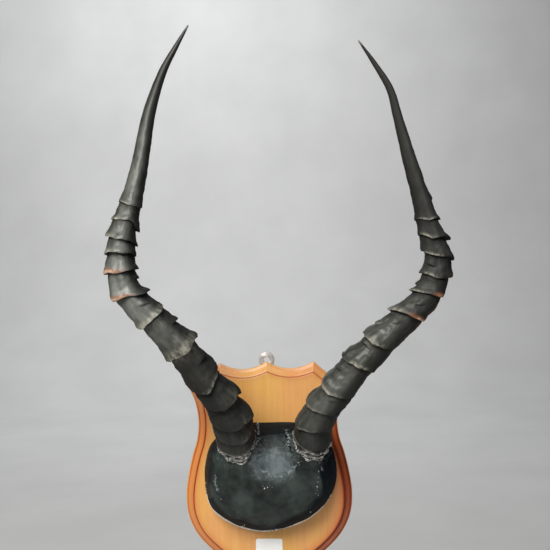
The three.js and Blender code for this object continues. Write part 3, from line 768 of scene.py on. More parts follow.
def wavering(turns, seed, wave):
    """A smooth random line round the horn, from about -0.5 to 0.5."""
    spots = [Vector((math.cos(turn), math.sin(turn), seed)) for turn in np.radians(turns)]
    return np.array([noise.noise(spot * wave) for spot in spots])


def unsteady(turns, broad_seed, short_seed, amounts):
    """A random line of broad waves with short ones on them."""
    broad, short = amounts
    return broad * wavering(turns, broad_seed, BROAD_WAVE) + short * wavering(turns, short_seed, SHORT_WAVE)


def lip_lines(horn, turns):
    """Each lip's distance from the root, all round; the rubbed ones are the straightest."""
    straight = {mark[0] for mark in horn["worn"]}
    lines = []
    for k, ring in enumerate(horn["rings"]):
        bends = unsteady(turns, 5 * k + horn["seed"] + 0.5, 9 * k + 0.5, LIP_BENDS)
        lines.append(ring_line(ring, turns) + bends * (WORN_BENDS if k in straight else 1))
    return lines


def horn_marks(horn, lines, turns):
    """Every lip and ridge: its distance from the root and its height, all round, its sharpness, if round."""
    marks = []
    for k, (ring, line) in enumerate(zip(horn["rings"], lines)):
        uneven = 1 + unsteady(turns, 4 * k + horn["seed"] + 0.5, 7 * k + 0.5, LIP_UNEVEN)
        marks.append((line, ring_height(ring, turns) * uneven, 1, k < horn["round_bells"]))
    for middle, half, where, slant, height in horn["ridges"]:
        rise = height * window(turns, middle, half) ** RIDGE_ROUND
        marks.append((where + slant * (turns - middle), rise, 1, False))
    for k, (where, slant, height) in enumerate(BURR):
        line = where + slant * turns + BURR_BENDS * wavering(turns, 6 * k + horn["seed"] + 0.5, BURR_WAVE)
        nicked = 1 + BURR_NICKS * wavering(turns, 9 * k + 0.5, BURR_NICK_WAVE)
        marks.append((line, height * nicked, BURR_SHARPNESS, False))
    return marks


def horn_lips(marks, distance):
    """How high the mark is that stands out most at each point, and how far off its lip the point is."""
    found = {"lip_gap": np.full(distance.shape, PROFILE_END), "off_lip": np.full(distance.shape, PROFILE_END),
             "lip_height": np.zeros(distance.shape)}
    best = np.zeros(distance.shape)
    profile = np.array(RING_PROFILE).T
    for line, height, sharpness, is_round in marks:
        away = distance - line
        gap = away * sharpness
        off_lip = np.abs(gap - LIP_TOP)
        if is_round:
            gap = gap * np.where(away > 0, ROUND_START + (1 - ROUND_START) * (away / ROUND_REACH) ** 2, 1)
        stands = height * np.interp(gap, *profile, left=0, right=0)
        higher = stands > best
        best = np.where(higher, stands, best)
        for key, values in (("lip_gap", gap), ("off_lip", off_lip), ("lip_height", height)):
            found[key] = np.where(higher, values, found[key])
    return found


def horn_wear_and_light(horn, lines, turns, distance):
    """How worn and scuffed each point is, and its painted shade, highlight and brown reflection, from 0 to 1.
    """
    worn, scuffed = np.zeros(distance.shape), np.zeros(distance.shape)
    for ring, middle, half, strength in horn["worn"]:
        band = np.exp(-((distance - lines[ring] - WORN_MIDDLE) / WORN_HALF) ** 4)
        worn = np.maximum(worn, strength * band * window(turns, middle, half) ** 0.5)
    for ring, middle, half, strength, reach in horn["scuffed"]:
        band = np.exp(-((distance - lines[ring] - SCUFF_AND_HIGHLIGHT_MIDDLE) / reach) ** 2)
        scuffed = np.maximum(scuffed, strength * band * window(turns, middle, half))
    # Painted shade on the side turned from the light, and along parts of each horn.
    start, fade = horn["lee"]
    lee = LEE_SHADE * np.clip((turns - start) / fade, 0, 1) * (turns < LEE_END)
    painted_shade = np.maximum(by_place(distance, horn["shade_along"]) * by_place(turns, SHADE_ROUND), lee)
    # A painted highlight where the light falls.
    painted_highlight = by_place(distance, horn["painted_highlight"]) * window(turns, HIGHLIGHT_MIDDLE, HIGHLIGHT_HALF)
    # A painted brown reflection of the wood on a flank.
    middle, half, start, end, strength = horn["flank_reflection"]
    patch = np.clip(5 * (distance - start) * (end - distance) / (end - start) ** 2, 0, 1)
    flank_reflection = strength * window(turns, middle, half) * patch
    return {"worn": worn, "scuffed": scuffed, "painted_shade": painted_shade, "painted_highlight": painted_highlight, "flank_reflection": flank_reflection}


def horn_guide(horn):
    """The smooth horn as a grid, with what the growth tree and the keratin need stored on its points."""
    length, at = horn_spine(horn["spine"])
    turns = np.arange(HORN_SIDES) * 360 / HORN_SIDES - 180
    lines = lip_lines(horn, turns)
    distance = horn_rows(lines, length)
    lips = horn_lips(horn_marks(horn, lines, turns), distance)
    bell = sum((distance >= line).astype(float) for line in lines)
    to_lip = np.min([np.where(distance < line, line - distance, length) for line in lines], axis=0)
    centre, front, across, radius = at(distance)
    tipward = distance / length
    away = (turns - horn["crest"] + 180) % 360 - 180
    crest = sum(share * np.exp(-(((away - turn) / half) ** 2)) for turn, half, share in CREST)
    reach = radius * (HORN_FIT + crest * (1 - CREST_FADES * tipward))
    depth = HORN_DEPTH + (1 - HORN_DEPTH) * tipward
    cosine, sine = np.cos(np.radians(turns)), np.sin(np.radians(turns))
    outward = (depth * cosine)[..., None] * front + sine[:, None] * across
    places = centre + reach[..., None] * outward
    lean = LIP_LEAN * np.exp(-(((lips["lip_gap"] - LEAN_MIDDLE) / LEAN_HALF) ** 2))
    leaning = outward - lean[..., None] * np.cross(front, across)
    grain = np.stack([cosine * reach, sine * reach, distance + BELL_SHIFT * bell], axis=-1)
    return places, {"outward": leaning, "grain": grain, "from_root": distance, "to_lip": to_lip,
                    "tipward": tipward, **lips, **horn_wear_and_light(horn, lines, turns, distance)}


def grid_object(name, places, ends, stored):
    """A closed tube through rows of points, its two ends drawn in to a point each."""
    rows, sides = places.shape[:2]
    corners = np.vstack([places.reshape(-1, 3), ends])
    below = np.arange(sides)
    beside = np.roll(below, -1)
    starts = (np.arange(rows - 1) * sides)[:, None]
    above = starts + sides
    walls = np.stack([starts + below, starts + beside, above + beside, above + below], axis=-1)
    root_pole, tip_pole, top = rows * sides, rows * sides + 1, (rows - 1) * sides
    faces = walls.reshape(-1, 4).tolist()
    faces += [(root_pole, int(b), int(a)) for a, b in zip(below, beside)]
    faces += [(tip_pole, int(top + a), int(top + b)) for a, b in zip(below, beside)]
    data = bpy.data.meshes.new(name)
    data.from_pydata((corners * MM).tolist(), [], faces)
    made = new_object(name, data)
    for key, values in stored.items():
        flat = values.reshape(rows * sides, -1)
        flat = np.vstack([flat, flat[:1], flat[-1:]])
        if flat.shape[1] == 3:
            slot = data.attributes.new(key, "FLOAT_VECTOR", "POINT")
            slot.data.foreach_set("vector", flat.astype(np.float32).ravel())
        else:
            store(made, key, flat.ravel())
    return made


def named_input(tree, name, kind, value=None):
    made = tree.interface.new_socket(name, in_out="INPUT", socket_type=kind)
    if value is not None:
        made.default_value = value
    return made.identifier


def stored_value(tree, name, kind="FLOAT"):
    found = add_node(tree, "GeometryNodeInputNamedAttribute", {"Name": name}, data_type=kind)
    return found.outputs["Attribute"]


def sliding(tree, value, low, high, at_low=0.0, at_high=1.0):
    """at_low where a value is low, at_high where it is high, straight in between and level beyond."""
    feeds = {"Value": value, "From Min": low, "From Max": high, "To Min": at_low, "To Max": at_high}
    return add_node(tree, "ShaderNodeMapRange", feeds).outputs[0]


def ring_curve(tree, gap):
    """A lip's share of its height, by the gap from its line."""
    made = add_node(tree, "ShaderNodeFloatCurve", {"Value": sliding(tree, gap, PROFILE_START, PROFILE_END)})
    curve = made.mapping.curves[0]
    made.mapping.use_clip = False
    while len(curve.points) < len(RING_PROFILE):
        curve.points.new(0.5, 0.5)
    for point, (place, share) in zip(curve.points, RING_PROFILE):
        point.location = (place - PROFILE_START) / (PROFILE_END - PROFILE_START), share
        point.handle_type = "AUTO_CLAMPED"
    made.mapping.update()
    return made.outputs[0]


def tree_inputs(tree, **given):
    """A tree's geometry input and output and its named inputs, each given as (kind, value)."""
    named_input(tree, "Geometry", "NodeSocketGeometry")
    tree.interface.new_socket("Geometry", in_out="OUTPUT", socket_type="NodeSocketGeometry")
    named = {name.replace("_", " "): setting for name, setting in given.items()}
    return {name: named_input(tree, name, *setting) for name, setting in named.items()}


def end_tree(tree, geometry, material):
    """Ends a tree in real geometry with its material set."""
    whole = add_node(tree, "GeometryNodeRealizeInstances", {0: geometry}).outputs[0]
    coated = add_node(tree, "GeometryNodeSetMaterial", {"Geometry": whole, "Material": material})
    tree.links.new(coated.outputs[0], tree.nodes.new("NodeGroupOutput").inputs[0])


def horn_growth():
    """The tree that grows a horn's surface on its smooth guide: lips, lumps, fibres and the crusty root."""
    tree = bpy.data.node_groups.new("horn_growth", "GeometryNodeTree")
    sockets = tree_inputs(
        tree, Lump_height=("NodeSocketFloat", 5.2), Fibre_depth=("NodeSocketFloat", 0.10),
        Crust_height=("NodeSocketFloat", 0.8), Crust_reach=("NodeSocketFloat", 26.0),
        Seed=("NodeSocketFloat", 0.0), Keratin=("NodeSocketMaterial",))
    given = tree.nodes.new("NodeGroupInput").outputs
    shift = add_node(tree, "ShaderNodeCombineXYZ", {0: given["Seed"], 1: given["Seed"]}).outputs[0]
    grain = stored_value(tree, "grain", "FLOAT_VECTOR")
    grain = add_node(tree, "ShaderNodeVectorMath", {0: grain, 1: shift}).outputs[0]

    def rough_skin(pattern, height, share):
        waves = maths(tree, "SUBTRACT", grain_noise(tree, grain, *pattern), 0.5)
        return times(tree, times(tree, waves, height), share)

    calm = sliding(tree, stored_value(tree, "tipward"), CALM_START, CALM_END, 1.0, CALM_LEFT)
    near_root = sliding(tree, stored_value(tree, "from_root"), CRUST_FULL, given["Crust reach"], 1.0, 0.0)
    raised = times(tree, ring_curve(tree, stored_value(tree, "lip_gap")), stored_value(tree, "lip_height"))
    for skin in (rough_skin(LUMPY, given["Lump height"], calm),
                 rough_skin(FIBROUS, given["Fibre depth"], calm),
                 rough_skin(CRUSTY, given["Crust height"], near_root)):
        raised = maths(tree, "ADD", raised, skin)
    feeds = {0: stored_value(tree, "outward", "FLOAT_VECTOR"), "Scale": times(tree, raised, MM)}
    move = add_node(tree, "ShaderNodeVectorMath", feeds, operation="SCALE").outputs[0]
    grown = add_node(tree, "GeometryNodeSetPosition", {"Geometry": given["Geometry"], "Offset": move})
    end_tree(tree, grown.outputs[0], given["Keratin"])
    return tree, sockets


def run_tree(thing, tree, sockets, settings, name):
    """A geometry tree run on an object with its named inputs set, and its result kept as a plain mesh."""
    modifier = thing.modifiers.new(tree.name, "NODES")
    modifier.node_group = tree
    for label, value in settings.items():
        modifier[sockets[label]] = value
    return settled(thing, name)


def horn_keratin():
    made, tree, shader = finish_tree("horn_keratin", Specular_IOR_Level=0.31)
    grain = attribute(tree, "grain", "Vector")
    lip_height = attribute(tree, "lip_height")
    off_lip = attribute(tree, "off_lip")
    tipward = attribute(tree, "tipward")
    painted_shade = attribute(tree, "painted_shade")
    fibres, cloud, blotch, cracks, glint_spots = patterns(
        tree, grain, FIBRE_LINES, CLOUDS, BLOTCHES, CRACKS, GLINT_SPOTS)

    # Grown: a clouded body with fibres and cracks along it, and a painted highlight where the light falls.
    colour = blend(tree, 0.34, ramp(tree, cloud, *KERATIN), ramp(tree, fibres, *FIBRES))
    colour = blend(tree, ramp(tree, cracks, (0.63, 0.0), (0.72, 0.6)), colour, CRACK_BLACK)
    highlight = times(tree, attribute(tree, "painted_highlight"), ramp(tree, cloud, (0.30, 0.5), (0.62, 1.3)))
    colour = blend(tree, highlight, colour, HIGHLIGHT_GREY)
    tall = maths(tree, "MINIMUM", times(tree, lip_height, 0.2), 0.7)
    on_lip = times(tree, sliding(tree, off_lip, 2.0, 0.2), tall)
    rubbed = times(tree, on_lip, ramp(tree, blotch, (0.42, 0.1), (0.58, 0.8)))
    rubbed = times(tree, rubbed, ramp(tree, cloud, (0.48, 0.0), (0.60, 1.0)))
    colour = blend(tree, rubbed, colour, RUBBED_GREY)

    # Painted shade along parts of each horn and on the side turned from the light, a painted brown reflection
    # on the flank, and painted shade in the hollow under each lip.
    colour = blend(tree, times(tree, painted_shade, 0.9), colour, SHADE_BLACK)
    flank_reflection = times(tree, attribute(tree, "flank_reflection"), ramp(tree, blotch, (0.25, 0.5), (0.6, 1.0)))
    colour = blend(tree, flank_reflection, colour, FLANK_REFLECTION)
    # Painted shade in the hollow under each lip, deepest right under it.
    hollow = maths(tree, "MULTIPLY_ADD", painted_shade, 0.08, 0.80)
    lip_shade = maths(tree, "POWER", hollow, attribute(tree, "to_lip"))
    colour = blend(tree, times(tree, lip_shade, 0.95), colour, HOLLOW_SHADE)

    # Worn: lips scuffed pale, partly as painted highlight, or rubbed down to brown, each with painted shade
    # in the step under it.
    scuffed = times(tree, attribute(tree, "scuffed"), ramp(tree, fibres, (0.30, 0.5), (0.60, 1.0)))
    scuffed = times(tree, scuffed, ramp(tree, blotch, (0.38, 0.15), (0.56, 1.0)))
    colour = blend(tree, scuffed, colour, SCUFF_AND_HIGHLIGHT_PALE)
    worn = attribute(tree, "worn")
    tan = maths(tree, "MULTIPLY_ADD", maths(tree, "SUBTRACT", blotch, 0.5), 1.2, worn)
    worn = times(tree, worn, ramp(tree, blotch, (0.22, 0.7), (0.42, 1.1)))
    colour = blend(tree, maths(tree, "MINIMUM", worn, 1.0), colour, ramp(tree, tan, *WORN_BROWN))
    step_shade = sliding(tree, attribute(tree, "lip_gap"), -0.3, -1.1)
    step_shade = times(tree, step_shade, sliding(tree, lip_height, 0.2, 1.2))
    colour = blend(tree, times(tree, step_shade, 0.9), colour, STEP_SHADE)

    # The two ends: a smooth dark tip with a pale point, and a crusty root with pale ridges, partly painted
    # highlight, and painted glints.
    smooth_end = ramp(tree, tipward, (0.66, 0.0), (0.86, 0.8))
    colour = blend(tree, smooth_end, colour, TIP_BLACK)
    colour = blend(tree, ramp(tree, tipward, (0.985, 0.0), (1.0, 0.7)), colour, POINT_PALE)
    crusty = sliding(tree, attribute(tree, "from_root"), 27.0, 18.0)
    colour = blend(tree, times(tree, crusty, 0.7), colour, CRUST_DARK)
    ridges = times(tree, sliding(tree, off_lip, 4.2, 1.0), ramp(tree, blotch, (0.34, 0.2), (0.54, 0.9)))
    colour = blend(tree, times(tree, crusty, ridges), colour, CRUST_PALE_AND_HIGHLIGHT)
    glints = times(tree, sliding(tree, off_lip, 5.0, 1.4), ramp(tree, glint_spots, (0.53, 0.0), (0.58, 1.0)))
    colour = blend(tree, times(tree, crusty, glints), colour, CRUST_GLINT)

    rough = ramp(tree, fibres, (0.25, 0.27), (0.75, 0.42))
    rough = blend(tree, lip_shade, rough, 0.9)
    rough = blend(tree, smooth_end, rough, 0.46)
    rough = blend(tree, times(tree, painted_shade, 0.85), rough, 0.84)
    fine = bump(tree, fibres, 0.0003, 0.35)
    wire(tree, shader, colour, rough, bump(tree, cracks, 0.0003, 0.3, fine))
    return made


growth_tree, growth_sockets = horn_growth()
keratin = horn_keratin()
for side, horn in HORNS.items():
    places, stored = horn_guide(horn)
    ends = np.array([horn["spine"][0][:3], horn["spine"][-1][:3]], float)
    guide = grid_object(f"horn_guide_{side}", places, ends, stored)
    settings = {"Seed": float(horn["seed"]), "Keratin": keratin}
    grown_horn = run_tree(guide, growth_tree, growth_sockets, settings, f"impala_horn_{side}")
    grown_horn.data.shade_smooth()
    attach(grown_horn, "root")
    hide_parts(f"horn_{side}")

# ---- skull cap ---------------------------------------------------------------------------------------------
# The sawn-off top of the skull, lumpy with filler and brushed with black gloss paint. Two stumps rise from it
# to hold the horns, and its cut edge lies on the shield. Where the paint has chipped there, white bone shows.

CAP_CENTRE = np.array([2, 12])
# The cut edge that lies on the shield, clockwise from the middle of its straight top.
CAP_OUTLINE = [
    (0, 71.6), (24, 71.6), (48, 68), (66, 58), (76, 42), (81.4, 16), (79.5, -4), (70.2, -24), (50.4, -43),
    (25, -54.5), (-5, -59.6), (-36, -54), (-63.5, -38), (-73.5, -22), (-77, 4), (-76.5, 20), (-69.8, 45),
    (-60, 56), (-44, 67), (-22, 71.6),
]
# How the bone domes up from its cut edge: (share of the outline, height above the shield's face).
CAP_DOME = [
    (1, 0), (1, 1.5), (0.976, 3.0), (0.974, 8), (0.960, 17), (0.915, 29), (0.835, 41), (0.69, 50),
    (0.49, 55), (0.25, 57.5), (0, 58),
]
CAP_LEAN = 0.24  # how much lower the dome is at its lower edge than at its top
CAP_RAKE = 0.26  # how far its lower side slopes back towards the horns, over its height
CAP_BACK = -SHIELD_THICKNESS - TOUCH
# Flats planed on the dome: (the way they face, how deep they cut below the furthest point that way).
CAP_FLATS = [((0.12, -0.78, 0.61), 5.0), ((0.80, -0.58, 0.02), 3.5), ((-0.78, -0.62, 0.0), 2.5)]
FLAT_SHARE = 0.75  # how much of what stands over a flat is planed off
# Points round the rim, and between two given points of the rim, the dome and a stump.
CAP_SIDES, RIM_STEPS, DOME_STEPS, STUMP_STEPS = 300, 20, 8, 5
# The stump that each horn grows from: (distance along the horn from its root, growth over the horn).
STUMP = [(-26, 0), (-12, 5), (0, 5.5), (6, 4.5), (9.5, 2.2)]
STUMP_SIDES = 72
VOXEL = 0.9  # the size of the cells in which the dome and its stumps grow together
# The filler's broad lumps, small dents and folds, each as (size, height). The folds are where it was pressed
# round the stumps: their middle and half width outside the horn, and how much of them shows below FOLD_LEVEL.
LUMPS, DENTS, FOLDS = (21, 1.5), (9, 0.4), (5.5, 2.2)
FOLD_MIDDLE, FOLD_HALF, FOLD_LEVEL, FOLD_BELOW = 6, 8, 30, 0.35
FOLD_REACH = 40  # how far along the horn they are counted
SAWN_FLAT, SAWN_FADE = 2, 5  # no lumps this near the cut edge, and all of them this much further up
# Chips in the paint: (x, z, radius).
CAP_CHIPS = [
    (-7, 7, 0.7), (-5, 4, 0.8), (-1, 4.5, 0.75), (1, 7, 0.6), (4, 5, 0.6), (-6, 10, 0.6), (57, 14, 0.6),
    (56.5, 9, 0.7), (55.5, 3, 0.8), (56, -2, 0.8), (54, -6, 0.8), (57, -8, 0.7), (58, 21, 0.6),
    (-56, -10, 0.7), (-33, -50, 1.6), (-30, -46, 0.9), (48, -30, 0.8), (-36, -38, 0.6), (-37, -26, 0.6),
    (27, -14, 0.6),
]
# Where the paint is scuffed through in ragged lines: each a path of (x, z).
CAP_SCUFFS = [
    [(-8, 26), (-4, 23), (-2, 25)], [(0, 21), (5, 18), (9, 17.5), (14, 18), (17, 21)],
    [(19, 20), (24, 22), (28, 27)], [(30, 27), (33, 31), (37, 33)], [(-61, 16), (-62, 8), (-60, 0)],
    [(-12, 72), (-10, 60), (-16, 52)], [(22, 66), (25, 58), (22, 50)], [(58, 32), (61, 26), (63, 20)],
]
SCUFF_REACH = 3.8
# A pale patch on the forehead, dust with a painted sheen on it: its middle, its half width and half height,
# and how fast it fades.
SHEEN_MIDDLE, SHEEN_SIZE, SHEEN_FADE = (6, 31), (24, 18), 0.46
# Where the cut edge has lost its paint: (direction from the middle in degrees, half width, how much).
CAP_BARED = [(-132, 48, 1.0), (-48, 44, 0.9), (180, 34, 0.24), (-90, 30, 0.35)]
# The sides take painted shade and are blacker than the front. The left one, turned towards the light, is less
# shaded where it doesn't face down, and the right one and the underside are the darkest. Then how soon each
# is reached as the surface turns that way.
LEFT_SIDE_SHADE, RIGHT_SIDE_SHADE, UNDERSIDE_SHADE = -0.4, 1.1, 0.3
SIDE_TURN, UNDER_TURN, LEVEL_TURN = 1.6, 1.2, -0.2
# Patterns in the paint, given as the wood's are.
BRUSH_MARKS, SOFT_CLOUDS, SPECKS = ((90, 90, 420), 3, 0.6), ((38, 38, 38), 4, 0.6), ((620, 620, 620), 3, 0.6)
RAGGED, DUST_RUNS = ((230, 230, 230), 5, 0.75), ((75, 75, 26), 4, 0.65, 0.4)
BLACK_PAINT = [(0.36, (0.0080, 0.0112, 0.0104)), (0.66, (0.0430, 0.0560, 0.0520))]
SIDE_SHADE_BLACK = (0.0010, 0.0050, 0.0075)
DUST_GREY = (0.060, 0.070, 0.068)
DUST_AND_SHEEN_GREY = (0.175, 0.205, 0.220)
SCUFFED_GREY = (0.23, 0.26, 0.265)
BARE_BONE = [(0.35, (0.60, 0.56, 0.50)), (0.65, (0.84, 0.80, 0.73))]


def cap_rows():
    """The dome's rows of points, from the cut edge to its top."""
    outline = np.vstack([smooth_path(CAP_OUTLINE, RIM_STEPS, closed=True), CAP_OUTLINE[:1]])
    rim = evenly(outline, CAP_SIDES)[:-1]
    top, bottom = rim[:, 1].max(), rim[:, 1].min()
    rows = []
    for share, height in smooth_path(CAP_DOME, DOME_STEPS)[:-1]:
        flat = CAP_CENTRE + (rim - CAP_CENTRE) * share
        down = (top - flat[:, 1]) / (top - bottom)
        raised = height * (1 - CAP_LEAN * down)
        up = flat[:, 1] + CAP_RAKE * raised * down**2
        rows.append(np.column_stack([flat[:, 0], CAP_BACK - raised, up]))
    rows = np.array(rows)
    for facing, depth in CAP_FLATS:
        normal = np.array(facing) / np.linalg.norm(facing)
        over = rows @ normal - ((rows @ normal).max() - depth)
        rows -= (np.maximum(over, 0) * FLAT_SHARE)[..., None] * normal
    rows[..., 1] = np.minimum(rows[..., 1], CAP_BACK)
    return rows


def stump_rows(rows):
    _, at = horn_spine(rows)
    turn = np.linspace(0, 2 * math.pi, STUMP_SIDES, endpoint=False)
    loops = []
    for distance, grown in smooth_path(STUMP, STUMP_STEPS):
        centre, front, across, radius = at(np.full(STUMP_SIDES, distance))
        reach = (radius + grown)[:, None]
        ring = centre + reach * (HORN_DEPTH * np.cos(turn)[:, None] * front + np.sin(turn)[:, None] * across)
        ring[:, 1] = np.minimum(ring[:, 1], CAP_BACK)
        loops.append(ring)
    return np.array(loops)


def near_stumps(places):
    """How far each point is outside the two horn roots."""
    gaps = []
    for rows in (LEFT_SPINE, RIGHT_SPINE):
        _, at = horn_spine(rows)
        centres, _, _, radii = at(np.linspace(0, FOLD_REACH, 21))
        away = np.linalg.norm(places[:, None] - centres[None], axis=2) - radii[None]
        gaps.append(away.min(axis=1))
    return np.minimum(*gaps)


def skull_cap():
    dome = cap_rows()
    middle_x, middle_z = CAP_CENTRE
    ends = np.array([(middle_x, CAP_BACK, middle_z), (middle_x, dome[-1, :, 1].min(), middle_z)])
    parts = [grid_object("cap_blank", dome, ends, {})]
    for rows in (LEFT_SPINE, RIGHT_SPINE):
        loops = stump_rows(rows)
        parts.append(grid_object("stump_blank", loops, loops[[0, -1]].mean(axis=1), {}))
    joined = bmesh.new()
    for part in parts:
        joined.from_mesh(part.data)
    bmesh.ops.recalc_face_normals(joined, faces=joined.faces)
    blank = parts[0]
    joined.to_mesh(blank.data)
    joined.free()
    for part in parts[1:]:
        bpy.data.objects.remove(part)
    remesh = blank.modifiers.new("filler", "REMESH")
    remesh.mode = "VOXEL"
    remesh.voxel_size = VOXEL * MM
    soften = blank.modifiers.new("brushed", "SMOOTH")
    soften.iterations = 3
    return settled(blank, "painted_skull_cap")


def hammer(thing):
    """Lumps, dents and folds in the filler; returns how far each point was above the shield."""
    data = thing.data
    places = np.array([corner.co for corner in data.vertices]) / MM
    normals = np.array([corner.normal for corner in data.vertices])
    above_shield = CAP_BACK - places[:, 1]
    near = np.exp(-((near_stumps(places) - FOLD_MIDDLE) / FOLD_HALF) ** 2)
    folded = near * np.where(places[:, 2] > FOLD_LEVEL, 1, FOLD_BELOW)
    lift = np.empty(len(places))
    for i, place in enumerate(places):
        spot = Vector(place)
        lumps, dents, folds = (noise.noise(spot / size) * height for size, height in (LUMPS, DENTS, FOLDS))
        lift[i] = lumps + dents + (abs(folds) - 0.25 * FOLDS[1]) * folded[i]
    lift *= np.clip((above_shield - SAWN_FLAT) / SAWN_FADE, 0, 1)
    moved = places + normals * lift[:, None]
    moved[:, 1] = np.minimum(moved[:, 1], CAP_BACK)
    data.vertices.foreach_set("co", (moved * MM).ravel())
    data.update()
    data.shade_smooth()
    return above_shield


def paint_wear_and_light(thing, above_shield):
    """Stores the paint's chips, scuffs, dust, bared cut edge, and its painted sheen and painted side shade.
    """
    flat = np.array([corner.co for corner in thing.data.vertices])[:, [0, 2]] / MM
    facing = np.array([corner.normal for corner in thing.data.vertices])
    chips, scuffs = np.zeros(len(flat)), np.zeros(len(flat))
    for x, z, radius in CAP_CHIPS:
        chips = np.maximum(chips, 1 - np.hypot(flat[:, 0] - x, flat[:, 1] - z) / (2 * radius))
    for path in CAP_SCUFFS:
        scuffs = np.maximum(scuffs, 1 - off_path(flat, np.array(path, float)) / SCUFF_REACH)
    dust_and_sheen = 1 - SHEEN_FADE * np.linalg.norm((flat - SHEEN_MIDDLE) / SHEEN_SIZE, axis=1) ** 2
    turn = np.degrees(np.arctan2(*(flat - CAP_CENTRE).T[::-1]))
    bared = sum(strength * window(turn, middle, half) for middle, half, strength in CAP_BARED)
    left = np.clip(-SIDE_TURN * facing[:, 0], 0, 1) * (facing[:, 2] > LEVEL_TURN)
    right = np.clip(SIDE_TURN * facing[:, 0], 0, 1)
    under = np.clip(-UNDER_TURN * facing[:, 2], 0, 1)
    side = (1 - np.abs(facing[:, 1])) * (1 + LEFT_SIDE_SHADE * left + RIGHT_SIDE_SHADE * right + UNDERSIDE_SHADE * under)
    stored = {"chips": chips, "scuffs": scuffs, "dust_and_sheen": np.clip(dust_and_sheen, 0, 1), "cut_edge": above_shield,
              "bared": bared, "side": side}
    for mark, values in stored.items():
        store(thing, mark, values)


def black_paint():
    made, tree, shader = finish_tree(
        "black_gloss_paint", Specular_IOR_Level=0.16, Coat_Weight=0.04, Coat_Roughness=0.35)
    brushed, cloud, speck, ragged, runs = patterns(
        tree, object_place(tree), BRUSH_MARKS, SOFT_CLOUDS, SPECKS, RAGGED, DUST_RUNS)
    off, off_fine, off_run = (maths(tree, "SUBTRACT", pattern, 0.5) for pattern in (ragged, speck, runs))
    # Painted shade on the dome's sides.
    side_shade = ramp(tree, attribute(tree, "side"), (0.28, 0.0), (0.62, 1.0))
    colour = blend(tree, side_shade, ramp(tree, cloud, *BLACK_PAINT), SIDE_SHADE_BLACK)
    dust = ramp(tree, ragged, (0.48, 0.0), (0.72, 1.0))
    dust = times(tree, dust, ramp(tree, cloud, (0.5, 0.0), (0.75, 0.3)))
    colour = blend(tree, dust, colour, DUST_GREY)
    # A pale patch on the forehead: dust with a painted sheen.
    dust_and_sheen = maths(tree, "MULTIPLY_ADD", off_run, 0.9, attribute(tree, "dust_and_sheen"))
    dust_and_sheen = ramp(tree, maths(tree, "MULTIPLY_ADD", off, 1.5, dust_and_sheen), (0.34, 0.0), (0.56, 0.35), (1.0, 0.95))
    dust_and_sheen = times(tree, dust_and_sheen, ramp(tree, cloud, (0.3, 0.4), (0.6, 1.0)))
    colour = blend(tree, times(tree, dust_and_sheen, 0.85), colour, DUST_AND_SHEEN_GREY)
    scuffed = maths(tree, "MULTIPLY_ADD", off_fine, 2.8, attribute(tree, "scuffs"))
    scuffed = ramp(tree, maths(tree, "MULTIPLY_ADD", off, 2.8, scuffed), (0.84, 0.0), (1.0, 0.85))
    colour = blend(tree, scuffed, colour, SCUFFED_GREY)
    chipped = maths(tree, "MULTIPLY_ADD", off_fine, 2.6, attribute(tree, "chips"))
    chipped = ramp(tree, chipped, (0.66, 0.0), (0.74, 1.0))
    edge = sliding(tree, attribute(tree, "cut_edge"), 4.4, 2.8)
    rubbed = times(tree, edge, maths(tree, "MULTIPLY_ADD", off, 1.6, attribute(tree, "bared")))
    bare = maths(tree, "MAXIMUM", chipped, ramp(tree, rubbed, (0.36, 0.0), (0.50, 1.0)))
    colour = blend(tree, bare, colour, ramp(tree, speck, *BARE_BONE))
    rough = blend(tree, side_shade, ramp(tree, cloud, (0.3, 0.40), (0.7, 0.54)), 0.9)
    rough = blend(tree, maths(tree, "MAXIMUM", bare, dust), rough, 0.75)
    skin = bump(tree, brushed, 0.0002, 0.15)
    wire(tree, shader, colour, rough, bump(tree, blend(tree, 0.5, ragged, bare), 0.0003, 0.12, skin))
    return made


cap = skull_cap()
paint_wear_and_light(cap, hammer(cap))
cap.data.materials.clear()
cap.data.materials.append(black_paint())
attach(cap, "root")
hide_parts("skull_cap")

# ---- hanger ------------------------------------------------------------------------------------------------
# A stamped strip of zinc-plated steel let into the back of the shield, its round eye standing above the top
# peak. Stamping left its edges a little rounded, and two countersunk screws hold it.

STAMPED_EDGE, STAMPED_SHARP = 0.3, math.radians(60)
ZINC_BRIGHT, ZINC_DULL = (0.50, 0.47, 0.45), (0.36, 0.335, 0.32)
TARNISH_BROWN = (0.10, 0.085, 0.07)


def hanger_mesh():
    skin = bmesh.new()
    front = PLATE_BACK - PLATE_THICKNESS
    sections = [(-STAMPED_EDGE, PLATE_BACK), (0, PLATE_BACK - STAMPED_EDGE), (0, front + STAMPED_EDGE),
                (-STAMPED_EDGE, front)]
    plate = [add_loop(skin, strap_outline(grown), y) for grown, y in sections]
    bridge(skin, plate)
    holes = [drilled(skin, 0, EYE_HEIGHT, [(EYE_HOLE - grown, y) for grown, y in sections])]
    for x, z in HANGER_SCREW_PLACES:
        slope = (HANGER_SCREW["head"] - HANGER_SCREW["shank"]) / HANGER_SCREW["head_depth"]
        wide = HANGER_SCREW["head"] + TOUCH
        through = wide - slope * (HANGER_SCREW["back"] - front)
        depths = ((wide, PLATE_BACK), (wide, HANGER_SCREW["back"]), (through, front))
        holes.append(drilled(skin, x, z, depths))
    fill(skin, plate[0], *(hole[0] for hole in holes))
    fill(skin, plate[-1], *(hole[-1] for hole in holes))
    return finished_mesh("stamped_hanger", skin, STAMPED_SHARP)


